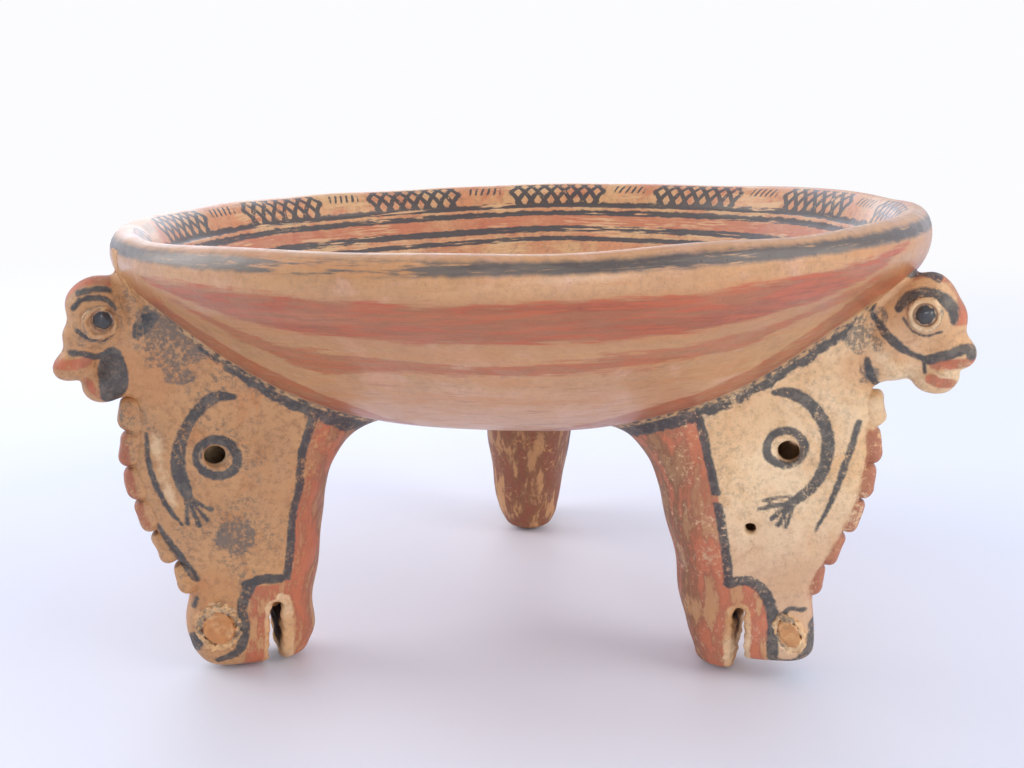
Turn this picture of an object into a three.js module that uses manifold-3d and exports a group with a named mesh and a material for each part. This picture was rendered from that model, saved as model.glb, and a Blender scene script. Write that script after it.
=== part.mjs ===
// Hand-built terracotta tripod bowl on three hollow rattle legs, each with a crest and an animal head.
// Millimetres, +Z up, the floor under the feet at z = 0.

import * as THREE from 'three';
import { mergeVertices } from 'three/addons/utils/BufferGeometryUtils.js';
import Module from 'manifold-3d';

const wasm = await Module();
wasm.setup();

// Driving dimensions of the bowl

const rimRadius = 115;
const standHeight = 65.5;
const dishHeight = 50;
const floorThickness = 7.5;
const lipWidth = 13;
const lipHeight = 14;
const lipRise = 9.2;
const bowlTilt = THREE.MathUtils.degToRad(-1.55);
const bowlSegments = 64;

// Driving dimensions of the legs

const headDrop = 2.1;
const innerReach = 27.2;
const outerReach = 29.7;
const spineHalf = 17.6;
const edgeHalf = 5;
const legWall = 4;
const chamberFloor = 15;
const chamberRise = 2.5;
const slitWidth = 3;
const slitFlare = 1.4;
const slitHeight = 21.5;
const eyeHoleRadius = 2.8;
const ventRadius = 1.5;

// Driving dimensions of what is luted on the legs

const crestDepth = 3.6;
const crestNotch = 2;
const crestHalf = 3.4;
const scallopCount = 6;
const headWidth = 16;
const headHeight = 19;
const headLength = 17;
const eyeRadius = 4.3;
const eyeRelief = 1.4;
const nostrilWidth = 8.6;
const nostrilHeight = 10.6;
const nostrilRelief = 1.7;

// Clearances: the slip joint between luted pieces, the room round a loose ball, its play above the floor of
// the chamber, the space between two balls, and how far a cutter runs past what it cuts

const luteGap = 0.3;
const ballRoom = 1.7;
const ballPlay = 0.4;
const ballApart = 1.2;
const overrun = 60;
const mergeTolerance = 1e-3;

// How each leg was set by hand: how far in from the rim's edge, how far its slit lies in from its origin,
// how far the outer toe stands off the floor, and how far the head reaches past its usual place

const frontLeftSetIn = 31.2;
const frontRightSetIn = 38.6;
const rearSetIn = 34.9;
const frontLeftSlitBack = 4;
const frontRightSlitBack = 1;
const rearSlitBack = 2;
const frontRightToeLift = 4.2;
const frontRightHeadForward = 5;
const rearHeadForward = 2.5;

// The three legs, with azimuth, twist, lean and head pitch in degrees

const legs = [
  {
    name: 'front_left', azimuth: 210, twist: -5, lean: -2.7, headPitch: 2, heightShare: 0.985,
    setIn: frontLeftSetIn, slitBack: frontLeftSlitBack, toeLift: 0, headForward: 0,
  },
  {
    name: 'front_right', azimuth: 330, twist: 12, lean: 2.7, headPitch: -3, heightShare: 1.015,
    setIn: frontRightSetIn, slitBack: frontRightSlitBack, toeLift: frontRightToeLift,
    headForward: frontRightHeadForward,
  },
  {
    name: 'rear', azimuth: 90, twist: 0, lean: 0, headPitch: 0, heightShare: 1,
    setIn: rearSetIn, slitBack: rearSlitBack, toeLift: 0, headForward: rearHeadForward,
  },
];

// Levels of a leg, as shares of: leg height, inner reach, outer reach, spine half width, edge half width

const legLevelShares = [
  [0, 0.42, 0.34, 0.24, 0.72],
  [0.018, 0.5, 0.49, 0.42, 1.12],
  [0.044, 0.54, 0.58, 0.55, 1.4],
  [0.088, 0.61, 0.626, 0.63, 1.5],
  [0.141, 0.64, 0.626, 0.69, 1.48],
  [0.194, 0.67, 0.6, 0.75, 1.36],
  [0.247, 0.7, 0.595, 0.81, 1.2],
  [0.317, 0.757, 0.724, 0.875, 1.04],
  [0.388, 0.82, 0.842, 0.92, 1],
  [0.459, 0.89, 0.936, 0.955, 1],
  [0.529, 1, 0.987, 1, 1],
  [0.582, 1.18, 1, 1.06, 1.04],
  [0.635, 1.47, 0.993, 1.14, 1.12],
  [0.705, 1.69, 0.976, 1.19, 1.24],
  [0.811, 1.76, 0.976, 1.19, 1.36],
  [1.005, 1.76, 0.976, 1.19, 1.4],
];

// Outline of the lip from its outer seam over the top to the inner ridge, in shares of its width and height

const lipShares = [
  [0.79, 0], [0.93, 0.23], [1, 0.52], [0.96, 0.77], [0.81, 0.95],
  [0.58, 1], [0.35, 0.89], [0.14, 0.63], [0, 0.36],
];

// Belly of the dish outside and inside: how far its floor runs flat, and where its wall starts to climb

const outerBellyShares = { flat: 0.49, belly: 0.71, climb: 0.235 };
const innerBellyShares = { flat: 0.47, belly: 0.687, climb: 0.21 };

// Finishes of the fired clay

function clay(colour, roughness) {
  return new THREE.MeshStandardMaterial({ color: colour, roughness, metalness: 0 });
}

const finishes = {
  dish: clay(0xcf8f63, 0.45),
  rim: clay(0xd6a477, 0.38),
  leg: clay(0xdcb283, 0.5),
  crest: clay(0xb96a4c, 0.55),
  head: clay(0xd4a274, 0.5),
  pellet: clay(0xc79560, 0.6),
  eye: clay(0x55504c, 0.35),
  ball: clay(0xb9794f, 0.8),
};

// Solids: closed geometry in, joined or cut, closed geometry out

function toSolid(geometry) {
  const plain = geometry.clone();
  plain.deleteAttribute('normal');
  plain.deleteAttribute('uv');
  const merged = mergeVertices(plain, mergeTolerance);
  const corners = merged.index.array;
  const kept = [];
  for (let i = 0; i < corners.length; i += 3) {
    const [a, b, c] = corners.slice(i, i + 3);
    if (a !== b && b !== c && c !== a) kept.push(a, b, c);
  }
  return new wasm.Manifold(new wasm.Mesh({
    numProp: 3,
    vertProperties: Float32Array.from(merged.attributes.position.array),
    triVerts: Uint32Array.from(kept),
  }));
}

function toGeometry(solid) {
  const mesh = solid.getMesh();
  const geometry = new THREE.BufferGeometry();
  geometry.setAttribute('position', new THREE.BufferAttribute(mesh.vertProperties, 3));
  geometry.setIndex(new THREE.BufferAttribute(mesh.triVerts, 1));
  geometry.computeVertexNormals();
  return geometry;
}

function addPiece(parent, name, solid, finish) {
  const piece = new THREE.Mesh(toGeometry(solid), finish);
  piece.name = name;
  parent.add(piece);
  return piece;
}

// A closed skin through rings of equal point count, from the lowest ring to the highest

function loft(rings) {
  const count = rings[0].length;
  const points = rings.flat();
  const faces = [];
  for (let level = 0; level < rings.length - 1; level += 1) {
    for (let i = 0; i < count; i += 1) {
      const next = (i + 1) % count;
      const low = level * count;
      const high = low + count;
      faces.push(low + i, low + next, high + next);
      faces.push(low + i, high + next, high + i);
    }
  }
  const top = (rings.length - 1) * count;
  for (let i = 1; i < count - 1; i += 1) {
    faces.push(0, i + 1, i);
    faces.push(top, top + i, top + i + 1);
  }
  const geometry = new THREE.BufferGeometry().setFromPoints(points);
  geometry.setIndex(faces);
  return geometry;
}

// An ellipsoid in the leg's plane: centre, half axes, and a pitch about the leg's cross axis

function ellipsoid(x, z, halfX, halfY, halfZ, pitch) {
  const geometry = new THREE.SphereGeometry(1, 14, 8);
  geometry.rotateX(Math.PI / 2);
  geometry.scale(halfX, halfY, halfZ);
  geometry.rotateY(pitch);
  geometry.translate(x, 0, z);
  return toSolid(geometry);
}

// A closed turned solid, standing on Z

function turned(outline) {
  const geometry = new THREE.LatheGeometry(outline, bowlSegments);
  geometry.rotateX(Math.PI / 2);
  return toSolid(geometry);
}

// An outline drawn in the leg's plane, thickened evenly to both sides of it

function slab(outline, half, curveSegments) {
  const depth = 2 * half;
  const geometry = new THREE.ExtrudeGeometry(outline, { depth, bevelEnabled: false, curveSegments });
  geometry.translate(0, 0, -half);
  geometry.rotateX(Math.PI / 2);
  return toSolid(geometry);
}

// Bowl: the dish and the rim coil meet at a slanting seam, which shows inside as a raised ridge

const seamInnerRadius = rimRadius - lipWidth;
const lipBottom = standHeight + dishHeight + lipRise - lipHeight;
const rimHeight = lipBottom + lipHeight;

function lipPoint(share) {
  return new THREE.Vector2(seamInnerRadius + share[0] * lipWidth, lipBottom + share[1] * lipHeight);
}

const seamOuter = lipPoint(lipShares[0]);
const seamInner = lipPoint(lipShares[lipShares.length - 1]);

function dishCurve(bottom, edge, shares) {
  const rise = edge.y - bottom;
  return new THREE.CubicBezierCurve(
    new THREE.Vector2(0, bottom),
    new THREE.Vector2(edge.x * shares.flat, bottom),
    new THREE.Vector2(edge.x * shares.belly, bottom + rise * shares.climb),
    edge,
  );
}

function dishOutline(gap) {
  const edge = new THREE.Vector2(seamOuter.x, seamOuter.y - gap);
  return dishCurve(standHeight, edge, outerBellyShares).getPoints(12);
}

function makeDish() {
  const edge = new THREE.Vector2(seamInner.x, seamInner.y - luteGap);
  const inner = dishCurve(standHeight + floorThickness, edge, innerBellyShares).getPoints(10);
  const outline = [...dishOutline(luteGap), ...inner.reverse()];
  return turned(outline);
}

function lipCoil() {
  return new THREE.SplineCurve(lipShares.map(lipPoint)).getPoints(12);
}

function makeRim() {
  const coil = lipCoil();
  return turned([...coil, coil[0]]);
}

const lipTopStep = 8;

// All the room that the bowl fills, grown by the slip joint, to cut what is luted against it

function makeBowlRoom() {
  const skin = [...dishOutline(0), ...lipCoil().slice(1, lipTopStep)];
  const grown = skin.map((point, i) => {
    const before = skin[Math.max(i - 1, 0)];
    const after = skin[Math.min(i + 1, skin.length - 1)];
    const along = after.clone().sub(before).normalize();
    return new THREE.Vector2(point.x + along.y * luteGap, point.y - along.x * luteGap);
  });
  grown[0].x = 0;
  const top = new THREE.Vector2(0, grown[grown.length - 1].y);
  return turned([...grown, top]);
}

// The bowl leans a little about the middle of its rim

const bowlGroup = new THREE.Group();
bowlGroup.position.z = rimHeight;
bowlGroup.rotation.y = bowlTilt;
bowlGroup.updateMatrixWorld();

function seatInBowlGroup(solid) {
  return solid.translate([0, 0, -rimHeight]);
}

const bowlRoom = seatInBowlGroup(makeBowlRoom()).transform(bowlGroup.matrixWorld.toArray());

// Leg: level sections of a fat round spine and a thin outer edge, joined by straight flanks

function legLevels(leg) {
  const height = legHeight(leg);
  return legLevelShares.map(([rise, inner, outer, spine, edge]) => ({
    height: rise * height,
    inner: -inner * innerReach - Math.tan(THREE.MathUtils.degToRad(leg.lean)) * rise * height,
    outer: outer * outerReach,
    spine: spine * spineHalf,
    edge: edge * edgeHalf,
  }));
}

function legHeight(leg) {
  return (standHeight + dishHeight - headDrop) * leg.heightShare;
}

// The flanks touch both rounds where their normals lean towards the thin edge by one angle

function wedgeRing(height, spineX, spineRadius, edgeX, edgeRadius) {
  const touch = Math.acos((spineRadius - edgeRadius) / (edgeX - spineX));
  const edgeSteps = 6;
  const spineSteps = 12;
  const ring = [];
  for (let i = 0; i <= edgeSteps; i += 1) {
    const angle = THREE.MathUtils.lerp(-touch, touch, i / edgeSteps);
    ring.push(ringPoint(edgeX, edgeRadius, angle, height));
  }
  for (let i = 0; i <= spineSteps; i += 1) {
    const angle = THREE.MathUtils.lerp(touch, 2 * Math.PI - touch, i / spineSteps);
    ring.push(ringPoint(spineX, spineRadius, angle, height));
  }
  return ring;
}

function ringPoint(centre, radius, angle, height) {
  return new THREE.Vector3(centre + radius * Math.cos(angle), radius * Math.sin(angle), height);
}

function legSkin(leg, grow) {
  const rings = legLevels(leg).map((level) => wedgeRing(
    level.height,
    level.inner + level.spine,
    level.spine + grow,
    level.outer - level.edge,
    level.edge + grow,
  ));
  return toSolid(loft(rings));
}

// Values between two levels of the leg

function levelAt(leg, height) {
  const levels = legLevels(leg);
  const above = Math.max(levels.findIndex((level) => level.height >= height), 1);
  const low = levels[above - 1];
  const high = levels[above];
  const share = (height - low.height) / (high.height - low.height);
  const mixed = { height };
  for (const key of ['inner', 'outer', 'spine', 'edge']) {
    mixed[key] = THREE.MathUtils.lerp(low[key], high[key], share);
  }
  return mixed;
}

// Half thickness of the leg where a flank passes a given distance out from the leg's origin

function flankHalf(level, x) {
  const spineX = level.inner + level.spine;
  const edgeX = level.outer - level.edge;
  const share = (x - spineX) / (edgeX - spineX);
  const tilt = Math.asin((level.spine - level.edge) / (edgeX - spineX));
  return THREE.MathUtils.lerp(level.spine, level.edge, share) / Math.cos(tilt);
}

// The hollow follows the leg's own levels, one wall thickness inside them, and ends before the thin edge

const chamberReachShare = 0.55;

function chamberRoof(leg) {
  return (standHeight + chamberRise) * leg.heightShare;
}

function hollowOf(level) {
  const spineX = level.inner + level.spine;
  const edgeX = level.outer - level.edge;
  return {
    height: level.height,
    spineX,
    spineHalf: level.spine - legWall,
    farX: THREE.MathUtils.lerp(spineX, edgeX, chamberReachShare),
    farHalf: THREE.MathUtils.lerp(level.spine, level.edge, chamberReachShare) - legWall,
  };
}

function makeChamber(leg) {
  const low = chamberFloor;
  const high = chamberRoof(leg);
  const inside = legLevels(leg).filter((level) => level.height > low && level.height < high);
  const hollows = [levelAt(leg, low), ...inside, levelAt(leg, high)].map(hollowOf);
  return toSolid(loft(hollows.map((hollow) => wedgeRing(
    hollow.height,
    hollow.spineX,
    hollow.spineHalf,
    hollow.farX,
    hollow.farHalf,
  ))));
}

// Round hole across the leg, from one flank to the other or from one side only

function crossHole(x, z, radius, fromY, toY) {
  const length = toY - fromY;
  const geometry = new THREE.CylinderGeometry(radius, radius, length, 14);
  geometry.translate(x, (fromY + toY) / 2, z);
  return toSolid(geometry);
}

// The slit through the foot is an upright slot with a round top, wider at the floor

function makeSlit(leg) {
  const middle = -leg.slitBack;
  const half = slitWidth / 2;
  const footHalf = half + slitFlare / 2;
  const outline = new THREE.Shape();
  outline.moveTo(middle - footHalf, -overrun);
  outline.lineTo(middle + footHalf, -overrun);
  outline.lineTo(middle + footHalf, 0);
  outline.lineTo(middle + half, slitHeight - half);
  outline.absarc(middle, slitHeight - half, half, 0, Math.PI, false);
  outline.lineTo(middle - footHalf, 0);
  return slab(outline, overrun, 6);
}

// The outer lobe of a foot that was set by hand a little high stands clear of the floor

function makeToeCut(leg) {
  const geometry = new THREE.BoxGeometry(overrun, 2 * overrun, 2 * leg.toeLift);
  geometry.translate(overrun / 2 - leg.slitBack, 0, 0);
  return toSolid(geometry);
}

const eyeHoleShares = { reach: 0.333, rise: 0.577 };
const ventShares = { reach: 0.05, rise: 0.393 };

function makeLegShell(leg, room) {
  const height = legHeight(leg);
  const eyeX = eyeHoleShares.reach * outerReach;
  const eyeZ = eyeHoleShares.rise * height;
  let shell = legSkin(leg, 0)
    .subtract(room)
    .subtract(makeChamber(leg))
    .subtract(makeSlit(leg))
    .subtract(crossHole(eyeX, eyeZ, eyeHoleRadius, -overrun, overrun))
    .subtract(crossHole(ventShares.reach * outerReach, ventShares.rise * height, ventRadius, -overrun, 0));
  if (leg.toeLift > 0) shell = shell.subtract(makeToeCut(leg));
  return shell;
}

// Head: a round skull, a beak that points out and down, a small jaw, and a neck that spreads on the leg

const headShares = { reach: 1.205, rise: 0.913 };

function headCentre(leg) {
  return {
    x: headShares.reach * outerReach + leg.headForward,
    z: headShares.rise * legHeight(leg),
  };
}

const beakShares = { forward: 0.3, drop: 0.41, length: 0.51, width: 0.275, depth: 0.21 };
const jawShares = { forward: 0, drop: 0.8, length: 0.37, width: 0.35, depth: 0.347 };
const neckShares = { back: 0.41, drop: 0.263, length: 0.47, width: 0.36, depth: 0.84 };
const beakPitch = THREE.MathUtils.degToRad(35);

function makeHeadMass(leg, grow) {
  const skull = ellipsoid(0, 0, headLength / 2 + grow, headWidth / 2 + grow, headHeight / 2 + grow, 0);
  const beak = ellipsoid(
    beakShares.forward * headLength,
    -beakShares.drop * headHeight,
    beakShares.length * headLength + grow,
    beakShares.width * headWidth + grow,
    beakShares.depth * headHeight + grow,
    beakPitch,
  );
  const jaw = ellipsoid(
    jawShares.forward * headLength,
    -jawShares.drop * headHeight,
    jawShares.length * headLength + grow,
    jawShares.width * headWidth + grow,
    jawShares.depth * headHeight + grow,
    0,
  );
  const neck = ellipsoid(
    -neckShares.back * headLength,
    -neckShares.drop * headHeight,
    neckShares.length * headLength + grow,
    neckShares.width * headWidth + grow,
    neckShares.depth * headHeight + grow,
    0,
  );
  const centre = headCentre(leg);
  return skull.add(beak).add(jaw).add(neck)
    .rotate([0, leg.headPitch, 0])
    .translate([centre.x, 0, centre.z]);
}

function makeHead(leg, room) {
  return makeHeadMass(leg, 0).subtract(legSkin(leg, luteGap)).subtract(room);
}

// Eye: one pressed button with a raised ring and a domed pupil, in shares of its radius and its relief

const eyeShares = [
  [1, -2], [1, 0.2], [0.9, 0.62], [0.76, 0.7], [0.62, 0.3], [0.52, 0.3], [0.38, 0.82], [0.2, 1], [0, 1.06],
];

const eyeDropShare = 0.06;

function makeEye(leg, side) {
  const outline = eyeShares.map(([out, up]) => new THREE.Vector2(out * eyeRadius, up * eyeRelief));
  outline.unshift(new THREE.Vector2(0, eyeShares[0][1] * eyeRelief));
  const geometry = new THREE.LatheGeometry(outline, 12);
  if (side < 0) geometry.rotateX(Math.PI);
  const centre = headCentre(leg);
  geometry.translate(centre.x, side * headWidth / 2, centre.z - eyeDropShare * headHeight);
  return toSolid(geometry).subtract(makeHeadMass(leg, luteGap));
}

// Crest: a strip of round scallops down the outer edge, seated one slip joint off the leg and the head

const crestRiseShares = { from: 0.212, to: 0.715 };

function makeCrest(leg) {
  const height = legHeight(leg);
  const low = crestRiseShares.from * height;
  const high = crestRiseShares.to * height;
  const pitch = (high - low) / scallopCount;
  const edgeAt = (z) => levelAt(leg, z).outer;
  const outline = new THREE.Shape();
  outline.moveTo(edgeAt(low) - edgeHalf, low);
  outline.lineTo(edgeAt(low) + crestNotch, low);
  for (let i = 0; i < scallopCount; i += 1) {
    const to = low + (i + 1) * pitch;
    const middle = to - pitch / 2;
    const bulge = crestNotch + 2 * (crestDepth - crestNotch);
    outline.quadraticCurveTo(edgeAt(middle) + bulge, middle, edgeAt(to) + crestNotch, to);
  }
  outline.lineTo(edgeAt(high) - edgeHalf, high);
  for (let i = scallopCount - 1; i > 0; i -= 1) {
    outline.lineTo(edgeAt(low + i * pitch) - edgeHalf, low + i * pitch);
  }
  return slab(outline, crestHalf, 5).subtract(legSkin(leg, luteGap)).subtract(makeHeadMass(leg, luteGap));
}

// Nostril: a flat oval pellet pressed on the flank of the outer lobe

const nostrilShares = { reach: 0.4, rise: 0.128 };

function makeNostril(leg, side) {
  const x = nostrilShares.reach * outerReach;
  const z = nostrilShares.rise * legHeight(leg);
  const half = flankHalf(levelAt(leg, z), x);
  const geometry = new THREE.SphereGeometry(1, 14, 8);
  geometry.rotateX(Math.PI / 2);
  geometry.scale(nostrilWidth / 2, nostrilRelief, nostrilHeight / 2);
  geometry.translate(x, side * half, z);
  return toSolid(geometry).subtract(legSkin(leg, luteGap));
}

// Rattle balls: two loose pellets side by side on the floor of the chamber, sized by its narrow end

function makeBall(leg, place) {
  const hollow = hollowOf(levelAt(leg, chamberFloor));
  const radius = hollow.farHalf - ballRoom;
  const middle = (hollow.spineX + hollow.farX) / 2;
  const geometry = new THREE.SphereGeometry(radius, 10, 7);
  geometry.rotateX(Math.PI / 2);
  geometry.translate(middle + place * (radius + ballApart / 2), 0, chamberFloor + ballPlay + radius);
  return toSolid(geometry);
}

// One leg with everything luted on it or loose inside it

function addLeg(part, leg) {
  const group = new THREE.Group();
  const azimuth = THREE.MathUtils.degToRad(leg.azimuth);
  const reach = rimRadius - leg.setIn;
  group.position.set(reach * Math.cos(azimuth), reach * Math.sin(azimuth), 0);
  group.rotation.z = azimuth + THREE.MathUtils.degToRad(leg.twist);
  group.updateMatrixWorld();
  part.add(group);
  const room = bowlRoom.transform(group.matrixWorld.clone().invert().toArray());
  addPiece(group, `${leg.name}_leg_shell`, makeLegShell(leg, room), finishes.leg);
  addPiece(group, `${leg.name}_crest`, makeCrest(leg), finishes.crest);
  addPiece(group, `${leg.name}_head`, makeHead(leg, room), finishes.head);
  for (const [hand, side] of [['left', 1], ['right', -1]]) {
    addPiece(group, `${leg.name}_head_${hand}_eye`, makeEye(leg, side), finishes.eye);
    addPiece(group, `${leg.name}_${hand}_nostril`, makeNostril(leg, side), finishes.pellet);
  }
  for (const [order, place] of [[1, -1], [2, 1]]) {
    addPiece(group, `${leg.name}_rattle_ball_${order}`, makeBall(leg, place), finishes.ball);
  }
}

// The whole part, with its origin on the floor under the middle of its box

const part = new THREE.Group();
part.add(bowlGroup);
addPiece(bowlGroup, 'bowl_dish', seatInBowlGroup(makeDish()), finishes.dish);
addPiece(bowlGroup, 'rim_coil', seatInBowlGroup(makeRim()), finishes.rim);
for (const leg of legs) addLeg(part, leg);

const box = new THREE.Box3().setFromObject(part);
const middle = box.getCenter(new THREE.Vector3());
part.position.set(-middle.x, -middle.y, -box.min.z);

export default part;
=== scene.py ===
import functools
import math

import bpy
import numpy as np
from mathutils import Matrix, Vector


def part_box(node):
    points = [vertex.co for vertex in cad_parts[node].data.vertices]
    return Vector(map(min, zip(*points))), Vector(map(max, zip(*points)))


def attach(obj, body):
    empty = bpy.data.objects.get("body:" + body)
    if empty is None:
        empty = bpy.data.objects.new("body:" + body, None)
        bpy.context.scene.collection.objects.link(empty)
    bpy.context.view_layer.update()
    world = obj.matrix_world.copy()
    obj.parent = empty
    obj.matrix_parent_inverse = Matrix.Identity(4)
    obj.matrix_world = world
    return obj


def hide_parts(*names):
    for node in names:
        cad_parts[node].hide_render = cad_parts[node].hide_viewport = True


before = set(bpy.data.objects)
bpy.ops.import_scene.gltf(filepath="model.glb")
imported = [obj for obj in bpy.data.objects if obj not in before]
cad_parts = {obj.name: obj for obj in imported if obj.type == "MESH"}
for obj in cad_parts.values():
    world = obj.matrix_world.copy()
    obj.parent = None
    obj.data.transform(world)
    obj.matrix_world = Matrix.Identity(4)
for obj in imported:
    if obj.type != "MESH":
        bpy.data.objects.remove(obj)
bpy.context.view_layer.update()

import openvdb
from mathutils import Vector

# Shaping is done in millimetres; the scene is in metres
MILLIMETRE = 0.001

# Bowl, as it is thrown and before it leans
RIM_RADIUS = 115.0
STAND_HEIGHT = 65.5
DISH_HEIGHT = 50.0
FLOOR_THICKNESS = 7.5
LIP_WIDTH = 13.0
LIP_HEIGHT = 14.0
LIP_RISE = 9.2
BOWL_TILT = math.radians(-1.55)
RIDGE_HEIGHT = 0.55
RIDGE_WIDTH = 0.75
RIDGE_RADIUS = 101.3
BOWL_LUMP_LENGTH = 46.0
BOWL_LUMP_HEIGHT = 0.28
BOWL_SEED = 11

LIP_BOTTOM = STAND_HEIGHT + DISH_HEIGHT + LIP_RISE - LIP_HEIGHT
RIM_HEIGHT = LIP_BOTTOM + LIP_HEIGHT
SEAM_INNER_RADIUS = RIM_RADIUS - LIP_WIDTH

# Lip as shares of its width and height, from the dish's outside over the top to its inside
LIP_SHARES = np.array([
    (0.79, 0.0), (0.93, 0.23), (1.0, 0.52), (0.96, 0.77), (0.81, 0.95),
    (0.58, 1.0), (0.35, 0.89), (0.14, 0.63), (0.0, 0.36),
])

# A belly's flat stretch, its bend and how far it has climbed there, as shares
OUTER_BELLY_SHARES = (0.49, 0.71, 0.235)
INNER_BELLY_SHARES = (0.47, 0.687, 0.21)

# Legs
HEAD_DROP = 2.1
INNER_REACH = 27.2
OUTER_REACH = 29.7
SPINE_HALF = 17.6
EDGE_HALF = 5.0
LEG_WALL = 4.0
CHAMBER_FLOOR = 15.0
CHAMBER_RISE = 2.5
CHAMBER_REACH_SHARE = 0.55
CHAMBER_ROUND = 1.2
SLIT_WIDTH = 3.0
SLIT_FLARE = 1.4
SLIT_HEIGHT = 21.5
SLIT_ROUND = 1.4
SLIT_WANDER = 0.35
SLIT_JITTER = 0.2
EYE_HOLE_RADIUS = 2.8
EYE_HOLE_ROUND = 1.0
VENT_RADIUS = 1.5
VENT_ROUND = 0.8
FOOT_ROUND = 3.2
SOLE_GAP = 0.02

# Places on a leg, as shares of its outer reach and of its height
EYE_HOLE_SHARES = (0.333, 0.577)
VENT_SHARES = (0.05, 0.393)
NOSTRIL_SHARES = (0.4, 0.128)
HEAD_SHARES = (1.205, 0.913)
CREST_RISE_SHARES = (0.212, 0.715)

# What is luted on the legs
CREST_DEPTH = 4.5
CREST_TAPER = 0.7
CREST_HALF = 3.2
CREST_SET_IN = 0.8
CREST_ROUND = 2.6
SCALLOP_COUNT = 6
SCALLOP_SLANT = math.radians(7)
SCALLOP_BLEND = 0.5
HEAD_WIDTH = 16.0
HEAD_HEIGHT = 19.0
EYE_RADIUS = 4.3
EYE_RELIEF = 1.4
EYE_DROP_SHARE = 0.06
EYE_BAND_SHARE = 0.8
EYE_BAND_HALF = 0.7
EYE_BUTTON_HALF = 1.2
EYE_BUTTON_SINK = 0.9
EYE_BUTTON_ROUND = 0.6
EYE_LIFT = 0.1
PUPIL_SHARE = 0.56
NOSTRIL_WIDTH = 8.6
NOSTRIL_HEIGHT = 10.6
NOSTRIL_FACE = 1.054
NOSTRIL_SINK = 1.5
NOSTRIL_ROUND = 0.7
NOSTRIL_DISH = 0.4
NOSTRIL_DISH_SHARE = 0.8
BED_RING = 1.22
BED_HALF = 0.95
BED_STRETCH = 1.15
BED_SINK = 0.35

# Unevenness left by the hand: wave length, height and what is added to the leg's seed
LEG_LUMPS = (21.0, 0.34, 0)
HEAD_LUMPS = (9, 0.2, 5)
CREST_LUMPS = (6, 0.16, 9)
EYE_LUMPS = (3.2, 0.12, 7)
NOSTRIL_LUMPS = (4.5, 0.13, 3)
BED_LUMPS = (2.2, 0.28, 13)
BALL_LUMPS = (5, 0.08, 0)

# How far a luted piece dips below its neighbour's skin, and how far it still runs on under it
FEATHER_DROP = 0.6
FEATHER_LAP = 0.5
BOWL_FILLET = 5.5
CREST_FILLET = 1.0
HEAD_FILLET = 3.0

# Levels of a leg, as shares of: leg height, inner reach, outer reach, spine half width, edge half width
LEG_LEVEL_SHARES = np.array([
    [0, 0.42, 0.34, 0.24, 0.72],
    [0.018, 0.5, 0.49, 0.42, 1.12],
    [0.044, 0.54, 0.58, 0.55, 1.4],
    [0.088, 0.61, 0.626, 0.63, 1.5],
    [0.141, 0.64, 0.626, 0.69, 1.48],
    [0.194, 0.67, 0.6, 0.75, 1.36],
    [0.247, 0.7, 0.595, 0.81, 1.2],
    [0.317, 0.757, 0.724, 0.875, 1.04],
    [0.388, 0.82, 0.842, 0.92, 1],
    [0.459, 0.89, 0.936, 0.955, 1],
    [0.529, 1, 0.987, 1, 1],
    [0.582, 1.18, 1, 1.06, 1.04],
    [0.635, 1.47, 0.993, 1.14, 1.12],
    [0.705, 1.69, 0.976, 1.19, 1.24],
    [0.811, 1.76, 0.976, 1.19, 1.36],
    [1.005, 1.76, 0.976, 1.19, 1.4],
])

# The rim leans, so the middle of its box lies this far beside the bowl's axis
RIM_OFF_AXIS = 0.18


def axis_of_bowl():
    low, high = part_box("rim_coil")
    middle = (low + high) / 2
    return middle.x / MILLIMETRE - RIM_OFF_AXIS, middle.y / MILLIMETRE


bowl_axis = axis_of_bowl()


class Leg:
    """Where a leg stands, how it was set by hand, and how it is painted."""

    def __init__(self, name, azimuth, twist, set_in, height_share, lean, slit_back, toe_lift,
                 head_forward, head_pitch, crest_pull, masses, paint, seed):
        self.name = name
        self.heading = math.radians(azimuth + twist)
        reach = RIM_RADIUS - set_in
        self.x = bowl_axis[0] + reach * math.cos(math.radians(azimuth))
        self.y = bowl_axis[1] + reach * math.sin(math.radians(azimuth))
        self.height = (STAND_HEIGHT + DISH_HEIGHT - HEAD_DROP) * height_share
        self.chamber_roof = (STAND_HEIGHT + CHAMBER_RISE) * height_share
        self.lean = math.tan(math.radians(lean))
        self.slit_x = -slit_back
        self.toe_lift = toe_lift
        self.head_x = HEAD_SHARES[0] * OUTER_REACH + head_forward
        self.head_z = HEAD_SHARES[1] * self.height
        self.eye_z = self.head_z - EYE_DROP_SHARE * HEAD_HEIGHT
        self.head_pitch = math.radians(head_pitch)
        self.crest_pull = crest_pull
        self.masses = masses
        self.paint = paint
        self.seed = seed

    def place(self, shares):
        return shares[0] * OUTER_REACH, shares[1] * self.height


# Camera at the photograph's place, relative to the bowl's axis on the floor
CAMERA_OFFSET = (18.0, -353.6, 153.9)
CAMERA_PITCH = 13.06
CAMERA_HEADING = 3.25
CAMERA_LENS = 42.19


def make_camera():
    data = bpy.data.cameras.new("camera")
    data.lens = CAMERA_LENS
    camera = bpy.data.objects.new("camera", data)
    camera.location = (Vector((*bowl_axis, 0)) + Vector(CAMERA_OFFSET)) * MILLIMETRE
    camera.rotation_euler = (math.radians(90 - CAMERA_PITCH), 0, math.radians(CAMERA_HEADING))
    bpy.context.collection.objects.link(camera)
    bpy.context.scene.camera = camera


def srgb(red, green, blue):
    """A colour given in 0 to 255 as the screen shows it, turned linear."""
    def linear(value):
        value /= 255
        return value / 12.92 if value <= 0.04045 else ((value + 0.055) / 1.055) ** 2.4
    return (linear(red), linear(green), linear(blue), 1.0)


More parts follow.
